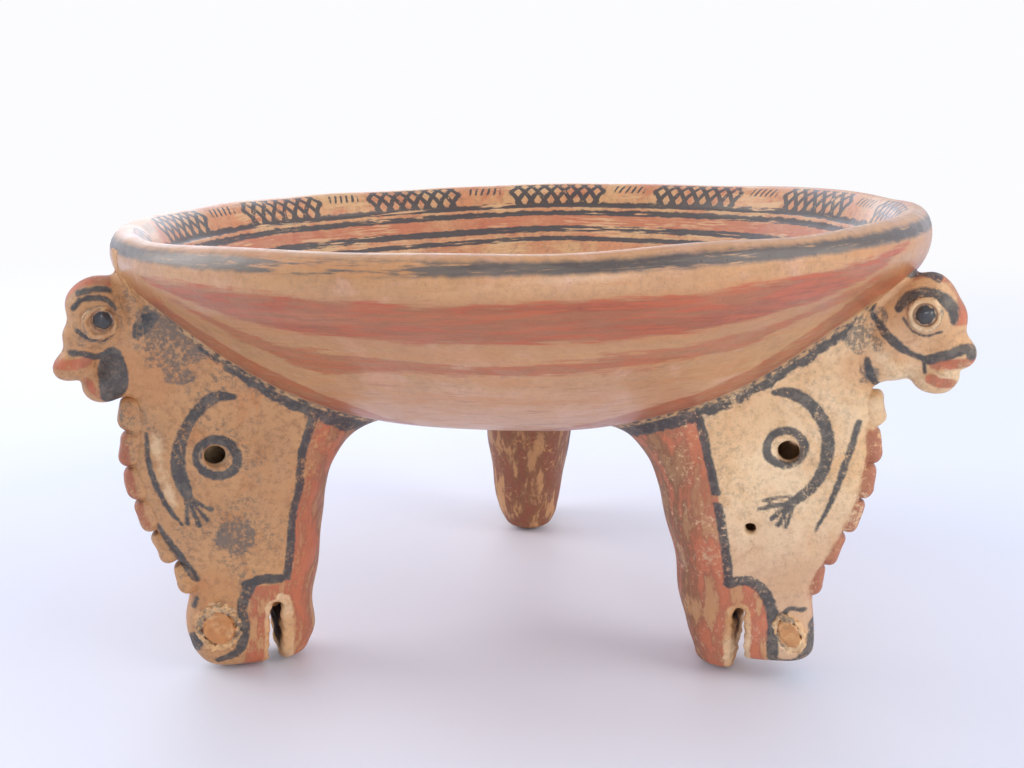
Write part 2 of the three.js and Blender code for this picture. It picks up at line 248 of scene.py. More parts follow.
# Colours of the clay and of its slips
BUFF = srgb(204, 152, 102)
BUFF_LIGHT = srgb(222, 174, 122)
CREAM = srgb(228, 188, 140)
PALE = srgb(238, 208, 166)
ORANGE = srgb(200, 134, 80)
TAN = srgb(180, 122, 76)
TAN_LIGHT = srgb(194, 144, 98)
FOOT_TAN = srgb(196, 152, 124)
SALMON = srgb(216, 148, 102)
PINK = srgb(216, 164, 132)
RED = srgb(164, 90, 64)
RED_DARK = srgb(132, 70, 50)
RED_BRIGHT = srgb(196, 106, 72)
BAND_RED = srgb(182, 88, 50)
BAND_DEEP = srgb(146, 70, 42)
BLACK = srgb(54, 59, 63)
BLACK_WORN = srgb(96, 92, 86)
GREY = srgb(116, 100, 84)
BROWN = srgb(124, 80, 52)
# Painted shade deep in the holes and the chamber of a leg
SHADED_CLAY = srgb(60, 38, 26)

# Tones of a ground: the usual one, the pale patches and the warm patches
LEFT_TONES = (TAN_LIGHT, BUFF, ORANGE)
RIGHT_TONES = (CREAM, PALE, BUFF_LIGHT)
BELLY_TONES = (TAN_LIGHT, BUFF, PINK)
INSIDE_TONES = (SALMON, BUFF_LIGHT, RED_BRIGHT)
RAW_TONES = (BUFF_LIGHT, PALE, TAN)
PELLET_TONES = (ORANGE, BUFF, TAN)

# Colours of the studio
PAPER = srgb(233, 238, 251)
SKY = srgb(232, 236, 250)
WHITE = srgb(252, 252, 254)

# How softly a painted edge ends, and how rough the skin on burnished clay is
EDGE_SOFT = 0.34
COAT_ROUGHNESS = 0.24


class Value:
    """What a node gives, so that sums on it are written as usual."""

    def __init__(self, nodes, socket):
        self.nodes = nodes
        self.socket = socket

    def __add__(self, other):
        return self.nodes.math("ADD", self, other)

    def __sub__(self, other):
        return self.nodes.math("SUBTRACT", self, other)

    def __rsub__(self, other):
        return self.nodes.math("SUBTRACT", other, self)

    def __mul__(self, other):
        return self.nodes.math("MULTIPLY", self, other)

    def __abs__(self):
        return self.nodes.math("ABSOLUTE", self)


class Nodes:
    """A node tree, with short calls for the nodes that the scene uses."""

    def __init__(self, tree):
        self.tree = tree

    def feed(self, socket, value):
        if isinstance(value, Value):
            self.tree.links.new(value.socket, socket)
        else:
            socket.default_value = value

    def node(self, kind, inputs, **settings):
        """Adds a node with its settings, and feeds its inputs by name or number."""
        made = self.tree.nodes.new("ShaderNode" + kind)
        for key, value in settings.items():
            setattr(made, key, value)
        for key, value in inputs.items():
            self.feed(made.inputs[key], value)
        return made

    def value(self, kind, output, inputs, **settings):
        return Value(self, self.node(kind, inputs, **settings).outputs[output])

    def math(self, operation, *values):
        return self.value("Math", 0, dict(enumerate(values)), operation=operation)

    def most(self, first, *others):
        for other in others:
            first = self.math("MAXIMUM", first, other)
        return first

    def length(self, x, y):
        return self.math("SQRT", x * x + y * y)

    def step(self, value, low, high, low_to=0.0, high_to=1.0):
        """A soft step from one value to another, as the given value goes from low to high."""
        inputs = {"Value": value, "From Min": low, "From Max": high, "To Min": low_to, "To Max": high_to}
        return self.value("MapRange", 0, inputs, interpolation_type="SMOOTHSTEP")

    def split(self, vector):
        return [Value(self, output) for output in self.node("SeparateXYZ", {0: vector}).outputs]

    def camera_sees(self):
        return self.value("LightPath", "Is Camera Ray", {})


class Shader(Nodes):
    """A material of fired clay: its noises, slips, wear, relief and gloss."""

    def __init__(self, name):
        self.material = bpy.data.materials.new(name)
        self.material.use_nodes = True
        super().__init__(self.material.node_tree)
        self.tree.nodes.clear()
        self.output = self.node("OutputMaterial", {})
        self.surface = self.node("BsdfPrincipled", {})
        self.feed(self.output.inputs[0], Value(self, self.surface.outputs[0]))
        self.here = self.scaled(self.value("TexCoord", "Object", {}), [1 / MILLIMETRE] * 3)

    def scaled(self, vector, factors):
        return self.value("VectorMath", 0, {0: vector, 1: factors}, operation="MULTIPLY")

    def attribute(self, name, output="Fac"):
        return self.value("Attribute", output, {}, attribute_name=name)

    def mix(self, factor, first, second):
        return self.value("Mix", 2, {"Factor": factor, 6: first, 7: second}, data_type="RGBA")

    def noise(self, scale, detail=3.0, roughness=0.55, distortion=0.0, at=None):
        inputs = {"Vector": at or self.here, "Scale": scale, "Detail": detail,
                  "Roughness": roughness, "Distortion": distortion}
        return self.value("TexNoise", "Fac", inputs)

    def patches(self, low, high, *noise):
        """One in patches where a noise passes high, zero where it stays below low."""
        return self.step(self.noise(*noise), low, high)

    def wander(self, reach, *noise):
        return (self.noise(*noise) - 0.5) * reach

    def band(self, distance, limits, soft=0.15):
        """One between two distances, zero beyond them."""
        low, high = limits
        return self.step(distance, low - soft, low + soft) * self.step(distance, high + soft, high - soft)

    def ragged(self, distance, reach, grain):
        """One inside a painted stroke, whose edge wanders with the brush and the wear."""
        return self.step(distance + self.wander(reach, grain, 6.0, 0.6), EDGE_SOFT, -EDGE_SOFT)

    def worn(self, mask, low, high, grain=0.8):
        """The same stroke with slip flaked off: a little everywhere, and much of it in some places."""
        return mask * self.step(self.noise(grain, 9.0, 0.74) + self.wander(0.5, 0.11), low, high)

    def ground(self, tones, grime):
        """Mottled slip over clay, with grey firing clouds, grime and dark specks."""
        usual, pale, warm = tones
        colour = self.mix(self.patches(0.4, 0.62, 0.05, 5.0, 0.6), usual, pale)
        colour = self.mix(self.patches(0.5, 0.66, 0.085, 6.0, 0.62, 0.6) * 0.65, colour, warm)
        mottle = self.patches(0.46, 0.64, 0.5, 9.0, 0.72)
        colour = self.mix(mottle * (0.1 + 0.35 * grime), colour, BROWN)
        cloud = self.patches(0.43, 0.6, 0.062, 6.0, 0.66, 0.5)
        grains = self.patches(0.48, 0.6, 0.62, 10.0, 0.8)
        colour = self.mix(cloud * grains * grime, colour, GREY)
        dots = self.patches(0.61, 0.68, 1.5, 5.0, 0.7)
        return self.mix(dots * (0.35 * (1 + grime)), colour, BROWN)

    def aged_and_shaded(self, colour, bare_colour, wear=0.7):
        """Painted shade and dirt darkening the hollows, and clay showing on the edges."""
        relief = self.attribute("relief")
        # The hollows are darkened towards brown: painted shade, with the dirt that gathers there
        colour = self.mix(self.step(relief, -0.12, -0.5) * 0.65, colour, BROWN)
        edge = self.step(relief, 0.25, 0.7) * self.patches(0.4, 0.6, 0.6, 6.0)
        return self.mix(edge * wear, colour, bare_colour)

    def relief(self):
        """Brush strokes, grit and small pits of fired clay."""
        cells = self.value("TexVoronoi", "Distance", {"Vector": self.here, "Scale": 0.5})
        pits = self.step(cells, 0.22, 0.06)
        return self.noise(0.4, 9.0, 0.66) * 1.2 + self.noise(3.2) * 0.2 - pits * 0.5

    def gloss(self, low, high):
        """Roughness of burnished clay, from its shiny places to its dull ones."""
        return self.step(self.noise(0.16, 5.0), 0.3, 0.7, low, high)

    def shade(self, colour, roughness, height, depth, burnish=0.0):
        """Colour, gloss and a fine relief, whose height of one stands for so many millimetres."""
        bump = self.value("Bump", 0, {"Distance": depth * MILLIMETRE, "Height": height})
        for name, value in (("Coat Weight", burnish), ("Coat Roughness", COAT_ROUGHNESS),
                            ("Base Color", colour), ("Roughness", roughness), ("Normal", bump)):
            self.feed(self.surface.inputs[name], value)
        return self.material


# Shaping with distance fields: negative inside, in millimetres

FAR = 1e3
TINY = 1e-9
WAVE_COUNT = 10
SLOPE_STEP = 0.5
GRADIENT_STEP = 0.3
RELIEF_REACH = 1.3
NARROW_BAND = 3.0


def either(*fields):
    """Inside any of the fields."""
    return functools.reduce(np.minimum, fields)


def within(*fields):
    """Inside all of the fields."""
    return functools.reduce(np.maximum, fields)


def smooth_union(first, second, radius):
    share = np.clip(0.5 + 0.5 * (second - first) / radius, 0, 1)
    return second + (first - second) * share - radius * share * (1 - share)


def smooth_cut(body, cutter, radius):
    return -smooth_union(-body, cutter, radius)


def turned(across, up, angle):
    """Two lengths turned by an angle in their own plane."""
    cosine, sine = math.cos(angle), math.sin(angle)
    return across * cosine - up * sine, across * sine + up * cosine


def smooth_step(value, low, high):
    share = np.clip((value - low) / (high - low), 0, 1)
    return share * share * (3 - 2 * share)


def smooth_line(at, knots, values):
    """A cubic curve through the knots, level beyond both ends."""
    slopes = np.gradient(values, knots)
    at = np.clip(at, knots[0], knots[-1])
    low = np.clip(np.searchsorted(knots, at) - 1, 0, len(knots) - 2)
    width = knots[low + 1] - knots[low]
    share = (at - knots[low]) / width
    start, end = values[low], values[low + 1]
    leave, arrive = slopes[low] * width, slopes[low + 1] * width
    bend = 3 * (end - start) - 2 * leave - arrive
    turn = 2 * (start - end) + leave + arrive
    return start + share * (leave + share * (bend + share * turn))


def lengths_along(points):
    """How far along a line each of its points lies."""
    return np.concatenate([[0], np.cumsum(np.hypot(*np.diff(points, axis=0).T))])


def smooth_points(points, knots, at):
    return np.stack([smooth_line(at, knots, column) for column in points.T], axis=1)


def stretch_gap(x, z, start, end):
    """Distance to a straight stretch, and the share of it passed at the nearest place."""
    along = end - start
    share = np.clip(((x - start[0]) * along[0] + (z - start[1]) * along[1]) / max(along @ along, TINY), 0, 1)
    return np.hypot(x - start[0] - share * along[0], z - start[1] - share * along[1]), share


def lumps(x, y, z, length, height, seed):
    """Soft unevenness of hand-built clay, as a sum of waves in seeded directions."""
    random = np.random.default_rng(seed)
    total = 0.0
    for _ in range(WAVE_COUNT):
        way = random.normal(size=3)
        way *= 2 * math.pi / (length * random.uniform(0.7, 1.6) * np.linalg.norm(way))
        total = total + np.sin(x * way[0] + y * way[1] + z * way[2] + random.uniform(0, 2 * math.pi))
    return total * (height / math.sqrt(WAVE_COUNT / 2))


def ball_field(across, side, up, halves, pitch=0.0):
    """Distance to an ellipsoid that is pitched about the cross axis, down when positive."""
    turned_x, turned_z = turned(across, up, pitch)
    near, steep = (
        np.sqrt((turned_x / halves[0] ** power) ** 2 + (side / halves[1] ** power) ** 2
                + (turned_z / halves[2] ** power) ** 2)
        for power in (1, 2)
    )
    return near * (near - 1) / np.maximum(steep, TINY)


def block_field(across, side, up, halves, rounding):
    """Distance to a block with round edges."""
    gaps = [np.abs(value) - half + rounding for value, half in zip((across, side, up), halves)]
    outside = np.sqrt(sum(np.maximum(gap, 0) ** 2 for gap in gaps))
    return outside + np.minimum(within(*gaps), 0) - rounding


def skin_relief(field, points):
    """How proud a place is of what is round it, above zero on edges and below zero in hollows."""
    steps = np.eye(3) * GRADIENT_STEP
    slopes = np.stack([field(*(points + step).T) - field(*(points - step).T) for step in steps], 1)
    normals = slopes / np.maximum(np.linalg.norm(slopes, axis=1), TINY)[:, None]
    above = field(*(points + normals * RELIEF_REACH).T)
    below = field(*(points - normals * RELIEF_REACH).T)
    return np.clip((above + below) / RELIEF_REACH, -1, 1)


def polygonise(field, low, high, voxel):
    """Quads on the zero surface of a field, sampled in a box."""
    axes = [np.arange(start, end + voxel, voxel, dtype=np.float32) for start, end in zip(low, high)]
    x, y, z = np.ix_(*axes)
    values = np.clip(field(x, y, z) / voxel, -NARROW_BAND, NARROW_BAND).astype(np.float32)
    grid = openvdb.FloatGrid(NARROW_BAND)
    grid.copyFromArray(values)
    points, quads = grid.convertToQuads(0.0)
    return points.astype(np.float64) * voxel + np.array(low), quads.astype(np.int32)


# Bowl profile: one line from the axis under the dish, over the lip, to the axis inside

PROFILE_STEP = 1.3
FINE_STEP = 0.4
FINE_FROM = 92.0
BELLY_POINTS = 160
LIP_POINTS = 90
SOFTENING = 12


def bezier(bottom, edge, shares):
    flat, belly, climb = shares
    rise = edge[1] - bottom
    controls = np.array([
        (0, bottom), (edge[0] * flat, bottom), (edge[0] * belly, bottom + rise * climb), edge,
    ])
    share = np.linspace(0, 1, BELLY_POINTS)[:, None]
    rest = 1 - share
    return (rest ** 3 * controls[0] + 3 * rest ** 2 * share * controls[1]
            + 3 * rest * share ** 2 * controls[2] + share ** 3 * controls[3])


def resampled(points, steps):
    """Points along a line, at spacings given for each place on it."""
    lengths = lengths_along(points)
    weights = np.concatenate([[0], np.cumsum(np.diff(lengths) / steps[1:])])
    count = int(math.ceil(weights[-1])) + 1
    at = np.interp(np.linspace(0, weights[-1], count), weights, lengths)
    return np.stack([np.interp(at, lengths, column) for column in points.T], axis=1)


def lip_points():
    points = LIP_SHARES * (LIP_WIDTH, LIP_HEIGHT) + (SEAM_INNER_RADIUS, LIP_BOTTOM)
    knots = lengths_along(points)
    return smooth_points(points, knots, np.linspace(0, knots[-1], LIP_POINTS))


def softened(points):
    """Averages neighbours, so that curves that meet at a seam run on smoothly."""
    for _ in range(SOFTENING):
        points[1:-1] = (points[:-2] + 2 * points[1:-1] + points[2:]) / 4
    return points


def inside_of(line):
    """Which points of the profile come after its top."""
    return np.arange(len(line)) > np.argmax(line[:, 1])


def bowl_profile():
    lip = lip_points()
    outer = bezier(STAND_HEIGHT, lip[0], OUTER_BELLY_SHARES)[:-1]
    inner = bezier(STAND_HEIGHT + FLOOR_THICKNESS, lip[-1], INNER_BELLY_SHARES)[::-1][1:]
    line = np.concatenate([outer, lip, inner])
    line = softened(resampled(line, np.full(len(line), FINE_STEP)))
    line[0, 0] = line[-1, 0] = 0
    fine = inside_of(line) & (line[:, 0] > FINE_FROM)
    line = resampled(line, np.where(fine, FINE_STEP, PROFILE_STEP))
    top = int(np.argmax(line[:, 1]))
    line[:, 1] += inside_of(line) * RIDGE_HEIGHT * np.exp(-((line[:, 0] - RIDGE_RADIUS) / RIDGE_WIDTH) ** 2)
    return line, top


profile, profile_top = bowl_profile()

ROOM_STEP = 0.5
ROOM_BOTTOM = 40.0
ROOM_REACH = 150.0


def room_table():
    """Distance to all the room that the filled bowl takes, on a grid of radius and height."""
    radii = np.arange(0, ROOM_REACH, ROOM_STEP)
    heights = np.arange(ROOM_BOTTOM, ROOM_REACH, ROOM_STEP)
    ring = np.concatenate([profile[:profile_top + 1], [[0, profile[profile_top, 1]]]])
    r, z = np.meshgrid(radii, heights, indexing="ij")
    nearest = np.full(r.shape, np.inf)
    crossings = np.zeros(r.shape, dtype=int)
    for start, end in zip(ring[:-1], ring[1:]):
        nearest = np.minimum(nearest, stretch_gap(r, z, start, end)[0])
        along = end - start
        spans = (start[1] > z) != (end[1] > z)
        crossings += spans & (r < start[0] + (z - start[1]) * along[0] / (along[1] or TINY))
    return np.where(crossings % 2 == 1, -nearest, nearest).astype(np.float32)


room_distances = room_table()


def into_bowl(x, y, z):
    """Scene millimetres turned into the bowl's own upright frame."""
    across, up = turned(x - bowl_axis[0], z - RIM_HEIGHT, BOWL_TILT)
    return across, y - bowl_axis[1] + 0 * up, up + RIM_HEIGHT


def out_of_bowl(x, y, z):
    across, up = turned(x, z - RIM_HEIGHT, -BOWL_TILT)
    return across + bowl_axis[0], y + bowl_axis[1], up + RIM_HEIGHT


def bowl_lumps(x, y, z):
    return lumps(x, y, z, BOWL_LUMP_LENGTH, BOWL_LUMP_HEIGHT, BOWL_SEED)


def room_field(x, y, z):
    """Distance to the filled bowl, at scene millimetres."""
    bx, by, bz = into_bowl(x, y, z)
    places = np.hypot(bx, by) / ROOM_STEP, (bz - ROOM_BOTTOM) / ROOM_STEP
    r, h = (np.clip(place, 0, count - 1.001) for place, count in zip(places, room_distances.shape))
    low_r, low_h = r.astype(int), h.astype(int)
    share_r, share_h = r - low_r, h - low_h
    bottom, top = (
        room_distances[low_r, level] * (1 - share_r) + room_distances[low_r + 1, level] * share_r
        for level in (low_h, low_h + 1)
    )
    return bottom * (1 - share_h) + top * share_h - bowl_lumps(x, y, z)


# Leg fields, in the leg's own frame: x outward, y to its left, z up

def leg_level(leg, z):
    heights = LEG_LEVEL_SHARES[:, 0] * leg.height
    inner, outer, spine, edge = (smooth_line(z, heights, column) for column in LEG_LEVEL_SHARES.T[1:])
    return (-inner * INNER_REACH - leg.lean * z, outer * OUTER_REACH, spine * SPINE_HALF, edge * EDGE_HALF)


def leg_level_at(leg, z):
    return [float(value) for value in leg_level(leg, np.array(z))]


def wedge_field(x, y, fat_x, fat_radius, thin_x, thin_radius):
    """Distance, level with the floor, to a fat round and a thin one joined by straight flanks."""
    length = thin_x - fat_x
    lean = (fat_radius - thin_radius) / length
    flank = np.sqrt(1 - lean ** 2)
    across = np.abs(y)
    along = x - fat_x
    reach = along * flank - across * lean
    fat = np.hypot(across, along) - fat_radius
    thin = np.hypot(across, along - length) - thin_radius
    side = across * flank + along * lean - fat_radius
    return np.where(reach < 0, fat, np.where(reach > flank * length, thin, side))


def slanted(field, x, y, z):
    """A level distance corrected for how fast the section changes with height."""
    slope = (field(x, y, z + SLOPE_STEP) - field(x, y, z - SLOPE_STEP)) / (2 * SLOPE_STEP)
    return field(x, y, z) / np.sqrt(1 + slope ** 2)


def leg_lumps(leg, x, y, z, kind, shift=0):
    length, height, seed = kind
    return lumps(x, y, z, length, height, leg.seed + seed + shift)


def skin_field(leg, x, y, z):
    def level_field(x, y, z):
        inner, outer, spine, edge = leg_level(leg, z)
        return wedge_field(x, y, inner + spine, spine, outer - edge, edge)

    skin = slanted(level_field, x, y, z) - leg_lumps(leg, x, y, z, LEG_LUMPS)
    sole = leg.toe_lift * smooth_step(x, leg.slit_x - 1, leg.slit_x + 1)
    return smooth_cut(skin, z - sole - SOLE_GAP + 0 * y, FOOT_ROUND)


def chamber_field(leg, x, y, z):
    def level_field(x, y, z):
        inner, outer, spine, edge = leg_level(leg, z)
        spine_x, edge_x = inner + spine, outer - edge
        far_x = spine_x + (edge_x - spine_x) * CHAMBER_REACH_SHARE
        far_half = spine + (edge - spine) * CHAMBER_REACH_SHARE - LEG_WALL
        return wedge_field(x, y, spine_x, spine - LEG_WALL, far_x, far_half)

    return within(slanted(level_field, x, y, z), z - leg.chamber_roof, CHAMBER_FLOOR - z)


def slit_field(leg, x, z):
    half = SLIT_WIDTH / 2
    top = SLIT_HEIGHT - half
    wide = half + SLIT_FLARE / 2 * np.clip(1 - z / top, 0, 1)
    return np.where(z < top, np.abs(x - leg.slit_x) - wide, np.hypot(x - leg.slit_x, z - top) - half)


def hole_field(x, z, place, radius):
    return np.hypot(x - place[0], z - place[1]) - radius


def to_scene(leg, x, y, z):
    across, side = turned(x, y, leg.heading)
    return leg.x + across, leg.y + side, z


def into_leg(leg, x, y, z):
    return (*turned(x - leg.x, y - leg.y, -leg.heading), z)


def leg_room(leg, x, y, z):
    return room_field(*to_scene(leg, x, y, z))


def luted(piece, base, fillet):
    """A piece run out thin on what it is luted to."""
    return within(smooth_union(piece, base + FEATHER_DROP, fillet), -base - FEATHER_LAP)


def slit_wander(leg, y, z):
    """How far the slit's edges stray, as a knife leaves them."""
    broad = SLIT_WANDER * np.sin(z * 0.9 + leg.seed) * np.sin(y * 0.7)
    return broad + SLIT_JITTER * np.sin(z * 2.3 + y)


def shell_field(leg, x, y, z):
    body = luted(skin_field(leg, x, y, z), leg_room(leg, x, y, z), BOWL_FILLET)
    body = smooth_cut(body, chamber_field(leg, x, y, z), CHAMBER_ROUND)
    body = smooth_cut(body, slit_field(leg, x + slit_wander(leg, y, z), z), SLIT_ROUND)
    eye_hole = hole_field(x, z, leg.place(EYE_HOLE_SHARES), EYE_HOLE_RADIUS)
    body = smooth_cut(body, eye_hole + 0 * y, EYE_HOLE_ROUND)
    vent = within(hole_field(x, z, leg.place(VENT_SHARES), VENT_RADIUS), y)
    return smooth_cut(body, vent, VENT_ROUND)


def head_field(leg, x, y, z):
    """Skull, beak, jaw and neck run together."""
    across, up = turned(x - leg.head_x, z - leg.head_z, leg.head_pitch)
    head = FAR
    for forward, drop, length, width, depth, pitch, blend in leg.masses:
        mass = ball_field(across - forward, y, up + drop, (length, width, depth), math.radians(pitch))
        head = smooth_union(head, mass, blend)
    return head - leg_lumps(leg, x, y, z, HEAD_LUMPS)


def base_field(leg, x, y, z):
    """The leg's skin and the bowl together, for what is luted on both."""
    skin, room = skin_field(leg, x, y, z), leg_room(leg, x, y, z)
    return either(smooth_union(skin, room, BOWL_FILLET), within(skin, -room))


def crest_field(leg, x, y, z):
    low, high = (share * leg.height for share in CREST_RISE_SHARES)
    pitch = (high - low) / SCALLOP_COUNT
    crest = FAR
    for i in range(SCALLOP_COUNT):
        middle = low + (i + 0.5) * pitch
        below, edge_x, above = (leg_level_at(leg, middle + rise)[1] for rise in (-pitch / 2, 0, pitch / 2))
        tilt = math.atan2(above - below, pitch) - SCALLOP_SLANT
        pull = leg.crest_pull * math.sin(math.pi * math.sqrt((i + 0.5) / SCALLOP_COUNT))
        out, along = turned(x - edge_x + CREST_SET_IN + pull, z - middle, tilt)
        depth = CREST_DEPTH - CREST_TAPER * (1 - i / SCALLOP_COUNT)
        halves = (depth, CREST_HALF, pitch / 2 / math.cos(tilt))
        scallop = block_field(out, y, along, halves, CREST_ROUND)
        crest = smooth_union(crest, scallop, SCALLOP_BLEND) if i else scallop
    return crest - leg_lumps(leg, x, y, z, CREST_LUMPS)


def flank_frame(leg, x, z):
    """Half thickness of the leg and the turn of its flank, at a place on it."""
    inner, outer, spine, edge = leg_level_at(leg, z)
    spine_x, edge_x = inner + spine, outer - edge
    tilt = math.asin((spine - edge) / (edge_x - spine_x))
    share = (x - spine_x) / (edge_x - spine_x)
    return (spine + (edge - spine) * share) / math.cos(tilt), tilt


def nostril_place(leg):
    return tuple(np.add(leg.place(NOSTRIL_SHARES), leg.paint["nostril_shift"]))


def nostril_ring(leg, along, up):
    """How far out a place on a nostril lies, one being its edge."""
    wide_share, tall_share = leg.paint["nostril_share"]
    wide, tall = turned(along, up, -leg.paint["nostril_slant"])
    return np.hypot(wide / (NOSTRIL_WIDTH / 2 * wide_share), tall / (NOSTRIL_HEIGHT / 2 * tall_share))


def nostril_field(leg, side, x, y, z):
    """An oval pellet with a flat, slightly dished face, pressed on the flank, in a crumbly bed of slip."""
    centre_x, centre_z = nostril_place(leg)
    half, tilt = flank_frame(leg, centre_x, centre_z)
    along, face = turned(x - centre_x, side * y - half, tilt)
    ring = nostril_ring(leg, along, z - centre_z)
    rim = (ring - 1) * NOSTRIL_WIDTH / 2
    dish = NOSTRIL_DISH * np.exp(-(ring / NOSTRIL_DISH_SHARE) ** 2)
    pellet = smooth_cut(within(rim, -face - NOSTRIL_SINK), NOSTRIL_FACE - dish - face, NOSTRIL_ROUND)
    bed = np.hypot((ring - BED_RING) * NOSTRIL_WIDTH / 2 / BED_STRETCH, face + BED_SINK) - BED_HALF
    bed = bed - leg_lumps(leg, x, y, z, BED_LUMPS, side)
    pellet = smooth_union(pellet - leg_lumps(leg, x, y, z, NOSTRIL_LUMPS, side), bed, 0.25)
    return within(pellet, -face - NOSTRIL_SINK)


def eye_field(leg, side, x, y, z):
    """A pressed button: a raised ring round a domed pupil."""
    across, up = x - leg.head_x, z - leg.eye_z
    out = side * y - HEAD_WIDTH / 2
    ring = np.hypot(across, up)
    halves = (EYE_RADIUS, EYE_BUTTON_HALF, 1)
    base = block_field(ring + 0 * out, out + EYE_BUTTON_SINK, 0 * ring, halves, EYE_BUTTON_ROUND)
    band = np.hypot(ring - EYE_BAND_SHARE * EYE_RADIUS, out - EYE_LIFT) - EYE_BAND_HALF
    shift = leg.paint["pupil_shift"]
    inner = np.hypot(across - shift[0], up - shift[1])
    pupil = ball_field(inner, out - EYE_LIFT, 0 * ring, (PUPIL_SHARE * EYE_RADIUS, EYE_RELIEF, 1))
    eye = smooth_union(smooth_union(base, band, 0.5), pupil, 0.25)
    return eye - leg_lumps(leg, x, y, z, EYE_LUMPS, side)


# Painted strokes: distance to them in the plane of a flank, in millimetres

CURVE_PARTS = 6
NOTHING_NEAR = 60.0


def brushed(points):
    """More points along a line, so that it bends as a brush does."""
    points = np.array(points, dtype=float)
    if len(points) < 3:
        return points
    knots = lengths_along(points[:, :2])
    last = len(knots) - 1
    at = np.interp(np.linspace(0, last, last * CURVE_PARTS + 1), range(last + 1), knots)
    return smooth_points(points, knots, at)


def strokes(x, z, drawn):
    """Distance to the nearest of some brushed lines, through points of x, z and, if given, width."""
    nearest = np.full(x.shape, FAR)
    for points, width in drawn:
        points = brushed(points)
        for start, end in zip(points[:-1], points[1:]):
            gap, share = stretch_gap(x, z, start[:2], end[:2])
            wide = start[2] + (end[2] - start[2]) * share if len(start) > 2 else width
            nearest = np.minimum(nearest, gap - wide / 2)
    return nearest


def line_x(points, z):
    """The x of a line that runs up a flank, at each height."""
    heights, places = zip(*sorted((point_z, point_x) for point_x, point_z in points))
    return np.interp(z, heights, places)


def nearest_blot(x, z, blots):
    """Distance to the nearest of some round blots, each a middle and a radius."""
    return either(np.full(len(x), NOTHING_NEAR), *(hole_field(x, z, *blot) for blot in blots))


# Masses of a head, the skull first, in millimetres from its middle: forward, down, then half length,
# half width and half depth, then pitch in degrees and how softly it runs into the rest
ROUND_HEAD = [
    (-0.6, -0.4, 8.3, 8.0, 9.4, 0, 1.0),
    (5.4, 6.4, 3.6, 4.6, 4.4, 30, 3.6),
    (6.3, 11.8, 6.2, 4.3, 4.0, 28, 3.2),
    (0.2, 18.2, 5.6, 5.4, 5.0, 0, 2.4),
    (-7.5, 14.4, 6.8, 5.4, 8.0, 0, 3.0),
    (-7.0, 5.0, 8.0, 5.8, 14.0, 0, 3.0),
]
LONG_HEAD = [
    (-0.2, 0.8, 8.5, 8.0, 9.2, 0, 1.0),
    (5.6, 4.6, 4.2, 4.8, 4.8, 0, 3.6),
    (7.2, 12.0, 4.7, 4.4, 4.3, 12, 3.4),
    (1.6, 12.4, 4.6, 4.6, 4.6, 0, 2.6),
    (2.6, 17.9, 6.0, 5.2, 4.2, -6, 1.6),
    (-8.5, 12.2, 7.4, 5.2, 6.4, 0, 3.0),
    (-13.0, 13.6, 5.0, 5.0, 7.0, 0, 3.0),
    (-7.0, 5.0, 8.0, 5.8, 13.0, 0, 3.0),
]

